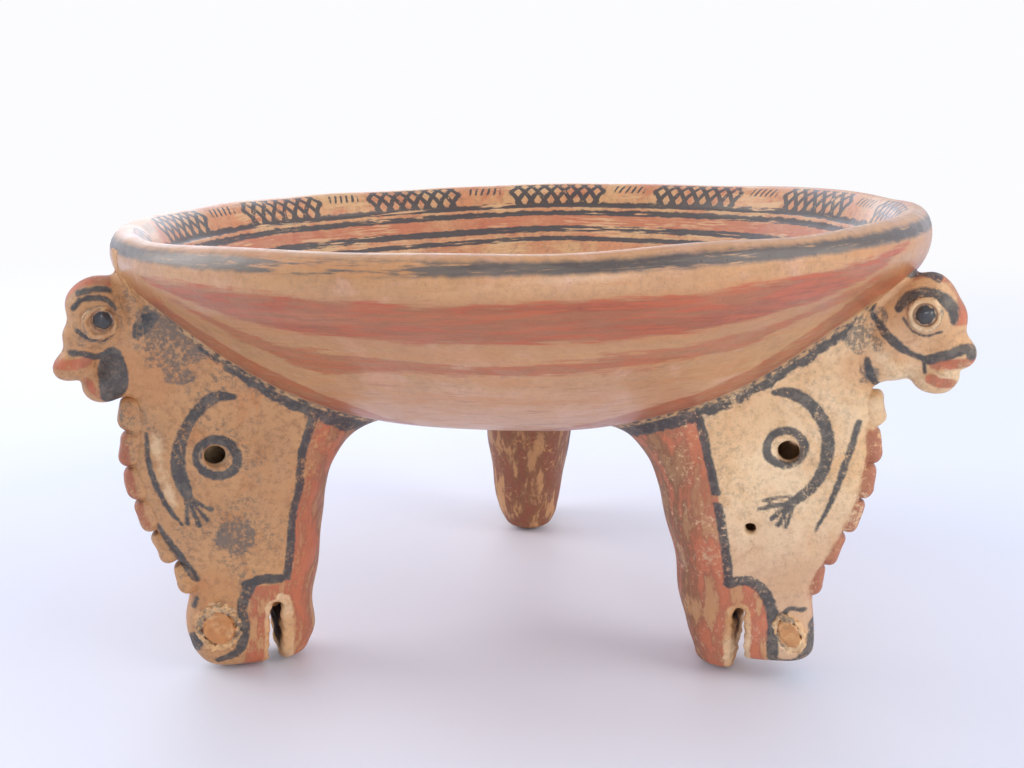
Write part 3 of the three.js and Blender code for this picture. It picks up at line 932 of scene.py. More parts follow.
# What is painted on a leg, placed in its own frame, or from the head's middle for what is on the head.
# Strokes are lists of points, each x, z and, where it changes, width, then the usual width
LEFT_PAINT = {
    "eye_ring": (9.6, 64.1, 4.9, 2.5),
    "black": [
        ([(4.6, 80.2, 1.6), (8.6, 80.4, 3.2), (12.4, 77.8, 3.0), (16.0, 73.2, 2.8), (18.4, 67.6, 3.2),
          (19.2, 61.4, 3.8), (18.3, 56.6, 3.6), (16.9, 52.6, 2.4)], 3.0),
        ([(17.0, 52.6), (11.6, 49.6)], 1.3),
        ([(16.4, 52.0), (13.0, 46.9)], 1.2),
        ([(17.2, 52.4), (14.9, 45.2)], 1.2),
        ([(17.4, 53.0), (17.8, 45.6)], 1.3),
        ([(26.2, 70.5, 0.8), (26.4, 64.3, 1.4), (24.6, 55.7, 1.5), (21.7, 48.9, 1.4),
          (19.0, 45.1, 0.7)], 1.3),
        ([(25.0, 45.0, 0.8), (22.6, 40.0, 2.0), (19.6, 34.6, 2.4), (16.0, 28.2, 2.2)], 1.8),
        ([(3.0, 27.2, 3.2), (4.9, 21.0, 2.6), (4.6, 13.0, 3.2), (6.4, 7.0, 2.6), (11.6, 4.4, 1.8)], 2.8),
        ([(-5.2, 28.8), (0.0, 29.4), (3.6, 27.6)], 2.8),
        ([(16.6, 11.4), (17.6, 8.0)], 3.4),
        ([(17.0, 20.0), (16.0, 22.5)], 1.0),
    ],
    "head_black": [
        ([(6.0, 2.6), (4.4, 4.3), (1.4, 5.1), (-2.5, 4.3), (-3.8, 2.2)], 1.3),
        ([(4.4, 6.2), (1.4, 7.0), (-2.0, 7.0), (-3.0, 6.6)], 1.4),
        ([(5.2, -3.2), (3.5, -4.6), (0.9, -5.5), (-1.7, -4.9), (-3.0, -3.2)], 1.4),
        ([(-2.6, -10.2, 4.6), (-2.4, -13.4, 6.8), (-2.4, -17.0, 7.4), (-1.6, -20.0, 5.6)], 7.0),
        ([(7.3, -9.0), (4.4, -9.2), (1.4, -10.4), (-1.6, -9.9)], 1.7),
        ([(9.2, -3.2, 1.0), (10.4, -6.4, 1.8), (11.6, -8.6, 1.0)], 1.6),
        ([(-12.8, -0.4, 2.6), (-10.8, -2.0, 4.2), (-8.8, -5.2, 2.2)], 3.0),
    ],
    "red": [
        ([(11.9, -11.8), (8.9, -12.0), (5.8, -11.9), (3.6, -11.2)], 2.6),
        ([(4.0, -16.6), (2.3, -19.4), (1.0, -20.4)], 2.0),
    ],
    "crown": (8.2, -2.6),
    "spine": [(-14.5, 76.0), (-11.0, 65.0), (-10.4, 55.6), (-8.5, 47.1), (-7.5, 37.2), (-6.3, 27.8)],
    "spine_end": 28.0,
    "spine_gap": (100.0, 0.0),
    "arch": [(2.0, 29.0), (3.2, 24.0), (3.4, 20.0), (3.1, 12.6), (4.4, 7.0), (5.0, 0.0)],
    "arch_top": 27.4,
    "slit_border": (2.9, 1.5),
    "joint": [(-25, 4.8), (-12, 3.8), (0, 2.6), (12, 1.6), (20, -1.5)],
    "smears": [((22.3, 99.4), 4.6), ((16.0, 94.0), 5.5), ((20.9, 93.2), 6.0), ((18.0, 86.0), 3.4),
               ((6.0, 42.0), 5.0)],
    "warm": [((11.0, 25.0), 6.6), ((26.0, 86.0), 8.0), ((4.0, 41.0), 2.8)],
    "nostril_slant": 0.0,
    "nostril_shift": (-0.8, 0.3),
    "nostril_share": (0.98, 0.86),
    "pupil_shift": (-0.7, 0.9),
    "grime": 0.85,
    "tones": LEFT_TONES,
    "foot_tan": 0.0,
    "reds": (RED_BRIGHT, RED),
    "crest_red": (1.0, 44.0, 72.0),
    "chalk": [([(24.2, 69.0), (23.2, 60.0), (20.6, 51.0)], 2.2)],
    "dark_from": 2.4,
}

RIGHT_PAINT = {
    "eye_ring": (9.3, 67.6, 4.6, 2.2),
    "black": [
        ([(5.8, 82.2, 1.4), (9.4, 82.4, 3.0), (13.6, 80.4, 3.2), (16.9, 76.8, 3.2), (19.2, 71.8, 3.2),
          (19.6, 66.0, 3.2), (18.2, 60.3, 3.1), (15.4, 56.0, 2.9), (12.0, 53.1, 2.6)], 3.2),
        ([(11.6, 53.0), (3.8, 50.9)], 1.3),
        ([(11.0, 54.6), (4.6, 53.2)], 0.9),
        ([(11.0, 52.6), (6.9, 48.4)], 1.3),
        ([(11.4, 52.4), (8.6, 46.6)], 1.2),
        ([(12.2, 52.6), (10.4, 46.2)], 1.2),
        ([(26.8, 74.7, 1.7), (25.4, 68.4, 1.8), (23.2, 60.0, 1.7), (20.6, 51.4, 1.4),
          (17.6, 44.7, 0.8)], 1.7),
        ([(-3.2, 29.6), (0.6, 30.6), (4.4, 28.4), (7.0, 23.6), (8.2, 17.7), (8.4, 11.6), (9.2, 7.0),
          (12.6, 5.4)], 3.0),
        ([(9.6, 18.6), (12.2, 21.6), (15.6, 21.2)], 1.4),
        ([(17.6, 17.0, 1.4), (17.8, 12.0, 2.2), (15.6, 7.0, 3.0), (11.6, 5.2, 3.4)], 2.4),
        ([(27.6, 91.6, 1.2), (28.6, 88.0, 2.2), (30.0, 84.8, 1.6)], 1.8),
    ],
    "head_black": [
        ([(-6.4, -0.2, 2.0), (-5.2, 1.8, 2.6), (-2.9, 3.4, 2.8), (0.1, 4.1, 2.8), (3.0, 3.3, 2.8),
          (5.2, 1.6, 2.8), (6.5, -0.4, 2.4), (6.8, -2.8, 1.6)], 2.5),
        ([(-4.2, 8.0), (-2.0, 8.5), (0.4, 8.2), (2.4, 7.4)], 1.8),
        ([(-12.4, -2.4, 1.4), (-9.0, -6.7, 2.2), (-6.2, -9.3, 2.4), (-2.9, -11.4, 1.5),
          (1.2, -13.0, 1.8)], 1.8),
        ([(1.4, -13.0), (4.0, -12.0), (7.0, -11.0), (9.2, -10.0), (11.0, -10.2), (11.6, -11.4)], 2.6),
        ([(0.6, -13.6), (0.9, -16.0)], 1.1),
        ([(-16.0, 0.6), (-13.0, 0.0)], 2.6),
        ([(-5.0, -2.6), (-3.0, -5.2), (0.4, -6.6), (4.0, -5.4)], 0.6),
    ],
    "red": [
        ([(2.9, -14.0), (5.8, -13.9), (9.2, -13.5), (11.4, -12.8)], 2.6),
        ([(2.4, -17.6), (4.6, -18.5), (7.2, -18.6)], 2.8),
        ([(6.4, 7.2), (8.4, 3.6)], 1.6),
    ],
    "crown": (7.4, -4.0),
    "spine": [(-14.0, 81.0), (-12.0, 75.6), (-10.2, 69.7), (-8.0, 61.3), (-6.6, 55.2),
              (-5.2, 47.9), (-3.4, 36.9), (-2.7, 29.3)],
    "spine_end": 30.5,
    "spine_gap": (53.6, 0.9),
    "arch": [(1.6, 30.6), (4.4, 27.6), (6.2, 24.2), (7.4, 18.0), (7.4, 9.0), (7.8, 0.0)],
    "arch_top": 29.8,
    "slit_border": (1.5, 1.9),
    "joint": [(-25, 4.0), (-12, 3.4), (0, 3.2), (22, 2.9), (27, -1.5)],
    "smears": [((27.8, 101.4), 3.6), ((25.5, 96.8), 4.0), ((30.2, 95.5), 2.6), ((28.0, 88.0), 2.6)],
    "warm": [((26.6, 89.0), 5.0), ((41.0, 104.0), 14.0)],
    "nostril_slant": 0.55,
    "nostril_shift": (0.6, 0.0),
    "nostril_share": (0.6, 0.8),
    "pupil_shift": (0.1, 0.1),
    "grime": 0.42,
    "tones": RIGHT_TONES,
    "foot_tan": 0.6,
    "reds": (RED_BRIGHT, RED),
    "crest_red": (-0.9, 16.0, 73.0),
    "chalk": [([(4.2, 69.0), (4.8, 64.6), (8.0, 61.4)], 3.0), ([(11.6, 74.0), (14.2, 71.6)], 3.4)],
    "dark_from": 7.0,
}

# The rear leg's reds are darker and browner: painted shade under the bowl
REAR_PAINT = dict(LEFT_PAINT, reds=(RED_DARK, BROWN))

legs = [
    Leg("front_left", azimuth=210, twist=-5, set_in=31.2, height_share=0.985, lean=-2.7, slit_back=4.0,
        toe_lift=0.0, head_forward=0.0, head_pitch=2, crest_pull=0.0, masses=ROUND_HEAD,
        paint=LEFT_PAINT, seed=21),
    Leg("front_right", azimuth=330, twist=12, set_in=38.6, height_share=1.015, lean=2.7, slit_back=1.0,
        toe_lift=5.8, head_forward=5.0, head_pitch=-3, crest_pull=1.4, masses=LONG_HEAD,
        paint=RIGHT_PAINT, seed=33),
    Leg("rear", azimuth=90, twist=0, set_in=34.9, height_share=1.0, lean=0.0, slit_back=2.0,
        toe_lift=0.0, head_forward=2.5, head_pitch=0, crest_pull=0.5, masses=ROUND_HEAD,
        paint=REAR_PAINT, seed=47),
]


# Meshes

def build_object(name, points, faces, material, attributes, body):
    """The visible piece that stands for a solid, with what is painted on it as attributes."""
    mesh = bpy.data.meshes.new(name + "_fired")
    mesh.vertices.add(len(points))
    mesh.vertices.foreach_set("co", (np.asarray(points) * MILLIMETRE).astype(np.float32).ravel())
    mesh.loops.add(faces.size)
    mesh.loops.foreach_set("vertex_index", faces.ravel())
    mesh.polygons.add(len(faces))
    mesh.polygons.foreach_set("loop_start", np.arange(0, faces.size, faces.shape[1], dtype=np.int32))
    mesh.polygons.foreach_set("use_smooth", np.ones(len(faces), dtype=bool))
    mesh.update(calc_edges=True)
    mesh.validate()
    for key, values in attributes.items():
        layer = mesh.attributes.new(key, "FLOAT", "POINT")
        layer.data.foreach_set("value", np.asarray(values, dtype=np.float32))
    mesh.materials.append(material)
    made = bpy.data.objects.new(name + "_fired", mesh)
    bpy.context.collection.objects.link(made)
    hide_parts(name)
    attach(made, body)
    return made


def leg_object(leg, piece, field, box, voxel, material, paint=None, body="vessel"):
    """One piece of a leg, shaped within a box in the leg's frame and set in the scene."""
    points, quads = polygonise(field, *box, voxel)
    attributes = paint(points) if paint else {}
    attributes["relief"] = skin_relief(field, points)
    points = np.stack(to_scene(leg, *points.T), 1)
    build_object(leg.name + "_" + piece, points, quads, material, attributes, body)


def box_round(middle, halves):
    return np.subtract(middle, halves), np.add(middle, halves)


BOWL_SECTORS = 720
FAN_EDGE = 8.0


def turned_grid():
    """The profile turned round, with its unevenness: points, places in the bowl's frame and normals."""
    turn = np.linspace(0, 2 * math.pi, BOWL_SECTORS, endpoint=False)
    along = np.gradient(profile, axis=0)
    along /= np.hypot(*along.T)[:, None]
    r, z = profile[:, :1], profile[:, 1:]
    bx, by, bz = r * np.cos(turn), r * np.sin(turn), z + 0 * turn
    swell = bowl_lumps(*out_of_bowl(bx, by, bz)) * np.clip(r / FAN_EDGE, 0, 1)
    out, up = along[:, 1:] * swell, -along[:, :1] * swell
    points = np.stack(out_of_bowl(bx + out * np.cos(turn), by + out * np.sin(turn), bz + up), -1)
    round_way = np.roll(points, -1, axis=1) - np.roll(points, 1, axis=1)
    normals = np.cross(round_way, np.gradient(points, axis=0))
    normals /= np.maximum(np.linalg.norm(normals, axis=-1), TINY)[..., None]
    return points, np.stack([bx, by, bz], -1), normals


def turned_object(piece, picked, grid, material, hollow):
    """Picked rows of the turned profile. A hollow piece is a closed coil; the dish ends on the axis."""
    rows = picked if hollow else picked[1:-1]
    points, place, normals = (layer[rows].reshape(-1, 3) for layer in grid)
    index = np.arange(len(rows) * BOWL_SECTORS).reshape(len(rows), BOWL_SECTORS)
    above = np.roll(index, -1, axis=0)
    quads = np.stack([index, np.roll(index, -1, axis=1), np.roll(above, -1, axis=1), above], -1)
    if hollow:
        faces = quads.reshape(-1, 4)
    else:
        ends = [layer[picked[[0, -1]], 0] for layer in grid]
        points, place, normals = (np.concatenate(pair) for pair in zip((points, place, normals), ends))
        normals[-2:] = ((0, 0, -1), (0, 0, 1))
        fans = [fan(index[0], len(points) - 2, -1), fan(index[-1], len(points) - 1, 1)]
        faces = np.concatenate([quads[:-1].reshape(-1, 4), *fans])
    paint = bowl_paint(points, place)
    made = build_object(piece, points, faces.astype(np.int32), material, paint, "vessel")
    layer = made.data.attributes.new("bowl_place", "FLOAT_VECTOR", "POINT")
    layer.data.foreach_set("vector", place.astype(np.float32).ravel())
    made.data.normals_split_custom_set_from_vertices(normals)


def fan(ring, centre, way):
    """Faces from a ring to its centre, each over two of the ring's edges."""
    corners = [np.roll(ring, -step)[::2] for step in range(3)][::way]
    return np.stack([np.full(len(corners[0]), centre), *corners], -1)


def seam_places():
    """Indexes on the profile where the rim coil meets the dish, outside and inside."""
    start = np.array((SEAM_INNER_RADIUS + LIP_SHARES[0, 0] * LIP_WIDTH, LIP_BOTTOM))
    outside = int(np.argmin(np.hypot(*(profile - start).T)))
    inside = profile_top + int(np.argmin(np.abs(profile[profile_top:, 0] - SEAM_INNER_RADIUS)))
    return outside, inside


def make_bowl():
    outside, inside = seam_places()
    grid = turned_grid()
    dish = np.concatenate([np.arange(outside + 1), np.arange(inside, len(profile))])
    coil = np.arange(outside, inside + 1)
    turned_object("bowl_dish", dish, grid, bowl_finish("fired_dish"), False)
    turned_object("rim_coil", coil, grid, bowl_finish("fired_rim"), True)


# Bands on the outside: azimuth in degrees, top and bottom height in millimetres

BAND_HIGH = np.array([
    (219, 117.8, 117.5), (225, 117.2, 115.2), (233, 117.2, 112.2), (240, 116.7, 109.0), (247, 116.0, 106.9),
    (253, 115.5, 105.9), (262, 114.6, 104.8), (282, 114.6, 104.8), (292, 114.9, 106.0), (301, 115.9, 106.9),
    (310, 117.0, 109.3), (319, 118.4, 114.6), (326, 119.6, 119.2),
])
BAND_LOW = np.array([
    (225, 115.4, 115.0), (229, 112.6, 111.0), (235, 108.0, 102.5), (240, 102.6, 96.5), (244, 101.7, 93.8),
    (251, 100.4, 95.2), (258, 99.1, 95.6), (265, 97.8, 95.2), (278, 100.0, 96.4), (291, 101.3, 96.9),
    (304, 103.4, 99.6), (314, 109.0, 106.6), (320, 113.0, 112.4),
])

# How well the black line round the lip is kept, at each azimuth
LIP_LINE = np.array([
    (220, 1.0), (235, 0.9), (244, 0.75), (250, 0.35), (258, 0.4),
    (264, 0.85), (278, 1.0), (285, 0.7), (300, 0.9), (340, 1.0),
])
LIP_LINE_HEIGHTS = (120.4, 123.4)
BESIDE_LEG = (5.0, 20.0)
LEG_SPACING = 120

# A line midway through the wall of the dish, that parts its inside from its outside
MIDWAY_RADII = (0, 40, 60, 80, 100, 102, 108)
MIDWAY_HEIGHTS = (69, 72, 78, 89, 106, 112, 114)


def between_legs(azimuth, first):
    """The azimuth brought to the stretch between two legs that the photo shows."""
    return (azimuth - first) % LEG_SPACING + first


def lens_band(azimuth, height, band):
    """Distance to a band that pinches out at its ends and repeats between the legs."""
    first, last = band[0, 0], band[-1, 0]
    turned_to = between_legs(azimuth, first)
    bottom, top = (np.interp(turned_to, band[:, 0], band[:, column]) for column in (2, 1))
    inside = within(height - top, bottom - height)
    beyond = either(np.maximum(turned_to - last, 0), first + LEG_SPACING - turned_to)
    return np.where(turned_to > last, within(inside, beyond), inside)


def bowl_paint(points, place):
    """Distances to what is painted on the bowl, for each point of its mesh."""
    x, y, height = place.T
    azimuth = np.degrees(np.arctan2(y, x)) % 360
    radius = np.hypot(x, y)
    inner = (radius < profile[profile_top, 0]) & (height > np.interp(radius, MIDWAY_RADII, MIDWAY_HEIGHTS))
    near = height < LIP_BOTTOM + 4
    leg_gap = np.full(len(points), NOTHING_NEAR)
    for leg in legs:
        leg_gap[near] = either(leg_gap[near], skin_field(leg, *into_leg(leg, *points[near].T)))
    return {
        "inner": inner,
        "band_high": lens_band(azimuth, height, BAND_HIGH),
        "band_low": lens_band(azimuth, height, BAND_LOW),
        "leg_gap": leg_gap,
        "lip_line": np.interp(between_legs(azimuth, LIP_LINE[0, 0]), *LIP_LINE.T),
    }


# Finishes

PANEL_COUNT = 12
PANEL_START = 85.0
PANEL_SHARE = 0.66
HATCH_PITCH = 5.0
HATCH_LINE = 2.05
HATCH_BAND = (102.6, 108.3)
TICK_BAND = (105.0, 107.4)
TICK_PITCH = 2.3
INNER_BANDS = [(93.9, 96.0), (99.5, 100.9), (101.7, 102.9), (90.8, 92.4)]
RED_BAND = (95.9, 99.6)
BURNISH = 0.35


def hatching(paint, place, radius, wander):
    """Cross-hatched panels on the rim's inner slope, with a row of short ticks between them."""
    middle = sum(HATCH_BAND) / 2
    turn = paint.math("ARCTAN2", place[1], place[0])
    panel = turn * (PANEL_COUNT / (2 * math.pi)) + (0.5 - PANEL_START * PANEL_COUNT / 360)
    panel = paint.math("FRACT", panel + PANEL_COUNT) - 0.5
    arc = panel * (2 * math.pi * middle / PANEL_COUNT) + wander
    down = (radius - middle) * 1.3 + wander * 0.6
    edge = HATCH_LINE / HATCH_PITCH / 2
    crossed = 0.0
    for way in (1, -1):
        lean = arc * (1 / HATCH_PITCH) + down * (way / HATCH_PITCH)
        wave = abs(paint.math("FRACT", lean + PANEL_COUNT) - 0.5)
        crossed = paint.most(crossed, paint.step(wave, edge + 0.03, edge - 0.03))
    reach = abs(panel)
    inside = paint.step(reach + abs(down) * 0.014, PANEL_SHARE / 2 + 0.018, PANEL_SHARE / 2)
    tick = paint.math("FRACT", (arc + down * 0.35) * (1 / TICK_PITCH) + 60)
    tick = paint.step(abs(tick - 0.5), 0.24, 0.14) * paint.band(radius, TICK_BAND, 0.3)
    tick = tick * paint.step(reach, 0.385, 0.4)
    return paint.most(crossed * inside * paint.band(radius, HATCH_BAND), tick)


def round_the_bowl(paint, place, radius, long, fine):
    """A noise drawn out round the bowl, as its slips were brushed."""
    turn = paint.math("ARCTAN2", place[1], place[0]) * (RIM_RADIUS * long)
    vector = paint.value("CombineXYZ", 0, {0: turn, 1: radius * fine, 2: place[2] * fine})
    return paint.noise(1.0, 7.0, 0.64, at=vector)


def belly_colour(paint, height, streaks, broad):
    """Burnished tan with warm places and dark streaks, pinker low down as a painted reflection of the pale
    floor, and tan on the upper belly as painted shade.
    """
    low = paint.step(height, 100.0, 78.0)
    above = paint.step(height, 98.0, 108.0) * paint.step(height, 118.0, 113.0, 0.0, 0.6)
    # Pinker low down: a painted reflection of the pale floor
    colour = paint.mix(low * 0.55, paint.ground(BELLY_TONES, 0.25), PINK)
    # Tan on the upper belly: painted shade
    colour = paint.mix(above, colour, TAN)
    colour = paint.mix(paint.step(broad, 0.5, 0.62) * 0.5, colour, ORANGE)
    colour = paint.mix(paint.step(streaks, 0.54, 0.68) * 0.3, colour, TAN)
    return paint.mix(paint.step(streaks, 0.56, 0.64) * (low * 0.4), colour, RED_DARK)


def red_bands(paint, height, streaks, broad):
    """One on the two bands round the outside, and on the red beside each leg."""
    faded = paint.step((broad - 0.5) * 0.9 - (streaks - 1.0), 0.36, 0.6, 0.62, 0.95)
    brushed_edge = (streaks - 0.5) * 5.0
    high_band = paint.step(paint.attribute("band_high") + brushed_edge, 0.7, -0.7)
    low_band = paint.attribute("band_low") + (broad - 0.5) * 9.0 + brushed_edge
    bands = paint.most(high_band, paint.step(low_band, 0.8, -0.8) * 0.8) * faded
    beside = paint.band(paint.attribute("leg_gap") + (broad - 0.5) * 6.0, BESIDE_LEG, 0.7)
    beside = beside * paint.step(height, 116.0, 109.0) * paint.step(streaks, 0.64, 0.48, 0.25, 0.85)
    return paint.most(bands, beside)


def lip_line(paint, height, streaks, wander):
    """One on the black line round the lip, where it is kept."""
    bottom, top = LIP_LINE_HEIGHTS
    line = paint.math("MINIMUM", height - bottom, top - height) + wander * 0.6
    kept = paint.attribute("lip_line") + (streaks - 0.5) * 2.6
    return paint.step(line, -0.6, 0.7) * paint.step(kept, 0.35, 0.75)


def bowl_outside(paint, place, radius, wander):
    """Burnished tan with two brushed red bands, and a black line round the lip."""
    height = place[2]
    streaks = round_the_bowl(paint, place, radius, 0.09, 0.9)
    broad = round_the_bowl(paint, place, radius, 0.03, 0.2)
    reds = paint.mix(paint.step(streaks, 0.4, 0.6), BAND_RED, BAND_DEEP)
    blacks = paint.mix(paint.step(broad, 0.42, 0.58), BLACK, BLACK_WORN)
    colour = belly_colour(paint, height, streaks, broad)
    colour = paint.mix(red_bands(paint, height, streaks, broad), colour, reds)
    colour = paint.mix(lip_line(paint, height, streaks, wander) * 0.9, colour, blacks)
    joint = paint.step(paint.attribute("leg_gap") + wander, 1.7, 0.6)
    return paint.mix(joint * 0.85, colour, BLACK), streaks


def bowl_inside(paint, place, radius, wander):
    """Lines and a red band round the dish, and cross-hatched panels on the rim."""
    wobbled = radius + wander * 0.5
    streaks = round_the_bowl(paint, place, radius, 0.07, 1.0)
    places = round_the_bowl(paint, place, radius, 0.03, 0.09)
    red = paint.band(wobbled, RED_BAND, 0.3) * paint.step(places, 0.38, 0.56, 0.25, 0.75)
    colour = paint.mix(red, paint.ground(INSIDE_TONES, 0.4), RED_BRIGHT)
    worn = paint.step(places, 0.5, 0.6) * paint.step(streaks, 0.46, 0.58)
    colour = paint.mix(worn * 0.75, colour, CREAM)
    rings = paint.most(*(paint.band(wobbled, limits) for limits in INNER_BANDS))
    rings = rings * paint.step(streaks + (places - 0.5) * 0.8, 0.68, 0.58)
    hatch = paint.worn(hatching(paint, place, radius, wander * 0.45), 0.3, 0.42, 0.7)
    return paint.mix(paint.most(rings, hatch) * 0.92, colour, BLACK)


def bowl_finish(name):
    paint = Shader(name)
    place = paint.split(paint.attribute("bowl_place", "Vector"))
    radius = paint.length(place[0], place[1])
    inner = paint.step(paint.attribute("inner"), 0.4, 0.6)
    wander = paint.wander(2.4, 0.3, 5.0)
    outside, streaks = bowl_outside(paint, place, radius, wander)
    colour = paint.mix(inner, outside, bowl_inside(paint, place, radius, wander))
    return paint.shade(colour, paint.gloss(0.3, 0.46), paint.relief() + streaks * 1.2, 0.13, BURNISH)


SPINE_LINE_HALF = 1.2
SPINE_LINE_SHIFT = 0.4
CROWN_REACH = 13.0
CROWN_BACK = 3.5


def black_drawn(leg, x, z):
    """Distance to black strokes, to the ring round the eye hole and to the line up the spine."""
    drawn = leg.paint
    ring_x, ring_z, ring_radius, ring_width = drawn["eye_ring"]
    ring = np.abs(hole_field(x, z, (ring_x, ring_z), ring_radius)) - ring_width / 2
    gap_z, gap_half = drawn["spine_gap"]
    line = np.abs(x - line_x(drawn["spine"], z) + SPINE_LINE_SHIFT) - SPINE_LINE_HALF
    line = within(line, drawn["spine_end"] - z, gap_half - np.abs(z - gap_z))
    head = strokes(x - leg.head_x, z - leg.head_z, drawn["head_black"])
    return either(strokes(x, z, drawn["black"]), ring, line, head)


def red_drawn(leg, x, z):
    """Distance to red strokes, to the arch beside the slit and to the crown of the head."""
    drawn = leg.paint
    across, up = x - leg.head_x, z - leg.head_z
    away = np.hypot(across, up)
    crown_start, crown_foot = drawn["crown"]
    crown = within(crown_start - away, away - CROWN_REACH, crown_foot - up, -CROWN_BACK - across)
    arch = within(x - line_x(drawn["arch"], z), z - drawn["arch_top"])
    return either(strokes(across, up, drawn["red"]), arch, crown)


def crest_drawn(leg, x, z):
    crest_start, crest_low, crest_high = leg.paint["crest_red"]
    return either(x - leg_level(leg, z)[1] - crest_start, (z - crest_low) / 4, (crest_high - z) / 2)


def leg_paint(leg):
    """Distances to what is painted on a leg and its head, for each point of a mesh."""
    drawn = leg.paint

    def paint(points):
        x, y, z = points.T
        border = np.where(x < leg.slit_x, *drawn["slit_border"])
        joint = np.interp(x, *zip(*drawn["joint"]))
        nostril_x, nostril_z = nostril_place(leg)
        return {
            "black": black_drawn(leg, x, z),
            "spine": x - line_x(drawn["spine"], z),
            "red": red_drawn(leg, x, z),
            "slit": slit_field(leg, x, z) - border,
            "smears": nearest_blot(x, z, drawn["smears"]),
            "warm": nearest_blot(x, z, drawn["warm"]),
            "joint": leg_room(leg, x, y, z) - joint,
            "depth": -skin_field(leg, x, y, z),
            "bed": (nostril_ring(leg, x - nostril_x, z - nostril_z) - 1.5) * NOSTRIL_WIDTH / 2,
            "crest": crest_drawn(leg, x, z),
            "chalk": strokes(x, z, drawn["chalk"]),
        }
    return paint


def leg_ground(paint, drawn, flow, height):
    """The leg's ground, a darker pinkish tan towards the foot and warm in places."""
    foot = paint.step(height + flow * 20.0, 62.0, 24.0, 0.0, drawn["foot_tan"])
    warm = paint.step(paint.attribute("warm") + flow * 8.0, 2.5, -2.5)
    colour = paint.mix(foot, paint.ground(drawn["tones"], drawn["grime"]), FOOT_TAN)
    return paint.mix(warm * 0.4, colour, ORANGE)


def with_red(paint, colour, drawn, flow, height):
    """Red slip on the spine, the arch, the head and the crest, in vertical brush streaks, with brown streaks
    on the spine's inner side as painted shade.
    """
    streak = paint.noise(1.0, 7.0, 0.6, at=paint.scaled(paint.here, (0.24, 0.24, 0.07)))
    spine = paint.attribute("spine")
    red = paint.most(paint.ragged(spine, 2.0, 0.4), paint.ragged(paint.attribute("red"), 1.6, 0.5))
    # Brown past the spine's black line, towards the leg's inner side, is painted shade
    dark = paint.step(spine, -3.0, -12.0) * paint.step(streak, 0.4, 0.54)
    pale = paint.step(streak, 0.51, 0.6) * paint.step(height, 70.0, 8.0, 0.35, 0.85)
    reds = paint.mix(paint.step(streak, 0.42, 0.58), *drawn["reds"])
    reds = paint.mix(pale, paint.mix(dark * 0.85, reds, BROWN), BUFF)
    colour = paint.mix(paint.worn(red, 0.3, 0.46) * 0.88, colour, reds)
    crest = paint.step(paint.attribute("crest") + flow * 3.0, -0.5, 0.5)
    return paint.mix(paint.worn(crest, 0.36, 0.5) * 0.85, colour, RED)


def with_marks(paint, colour, raw, flow, height):
    """Chalky strokes, raw clay round the slit and the nostrils, and dark smears."""
    chalk = paint.step(paint.attribute("chalk") + flow * 7.0, 1.0, -1.5)
    colour = paint.mix(chalk * 0.6, colour, PALE)
    bed = paint.ragged(paint.attribute("bed"), 3.0, 0.5) * paint.step(height, 24.0, 22.0)
    border = paint.most(paint.ragged(paint.attribute("slit"), 1.8, 0.6), bed)
    colour = paint.mix(border * 0.85, colour, raw)
    smears = paint.worn(paint.ragged(paint.attribute("smears"), 9.0, 0.2), 0.38, 0.55)
    return paint.mix(smears * 0.8, colour, BLACK_WORN)


def slip_colour(paint, leg):
    """Ground, red, marks and black lines of a leg, its crest and its head."""
    raw = paint.ground(RAW_TONES, 0.3)
    flow = paint.noise(0.3, 6.0, 0.6) - 0.5
    height = paint.split(paint.here)[2]
    colour = leg_ground(paint, leg.paint, flow, height)
    colour = with_red(paint, colour, leg.paint, flow, height)
    colour = with_marks(paint, colour, raw, flow, height)
    joint = paint.step(paint.attribute("joint") + flow * 4.5, 0.3, -0.5)
    black = paint.worn(paint.most(paint.ragged(paint.attribute("black"), 1.3, 0.6), joint), 0.27, 0.46)
    blacks = paint.mix(paint.patches(0.44, 0.64, 0.35, 7.0, 0.7), BLACK, BLACK_WORN)
    return paint.mix(black * 0.93, colour, blacks), black, raw


def leg_finish(leg):
    paint = Shader(leg.name + "_fired_leg")
    colour, black, raw = slip_colour(paint, leg)
    depth = paint.attribute("depth")
    bare = paint.step(depth, 0.7, 1.5)
    colour = paint.mix(bare, paint.aged_and_shaded(colour, BUFF_LIGHT), raw)
    # Deep in the holes and the chamber the clay turns near black: painted shade
    dark_from = leg.paint["dark_from"]
    colour = paint.mix(paint.step(depth, dark_from, dark_from + 4), colour, SHADED_CLAY)
    relief = paint.relief() + black * 0.2 + bare * 0.3
    return paint.shade(colour, paint.gloss(0.4, 0.58) + bare * 0.3, relief, 0.16)


def luted_finish(leg, piece, wear, shiny, dull, depth):
    """The slip of a leg on its crest or its head."""
    paint = Shader(leg.name + "_fired_" + piece)
    colour, black, _ = slip_colour(paint, leg)
    colour = paint.aged_and_shaded(colour, BUFF, wear)
    return paint.shade(colour, paint.gloss(shiny, dull), paint.relief() + black * 0.2, depth)


def eye_paint(leg):
    def paint(points):
        x, _, z = points.T
        middle = (leg.head_x, leg.eye_z)
        pupil = np.add(middle, leg.paint["pupil_shift"])
        return {
            "ring": hole_field(x, z, middle, 0) / EYE_RADIUS,
            "pupil": hole_field(x, z, pupil, 0) / EYE_RADIUS,
        }
    return paint


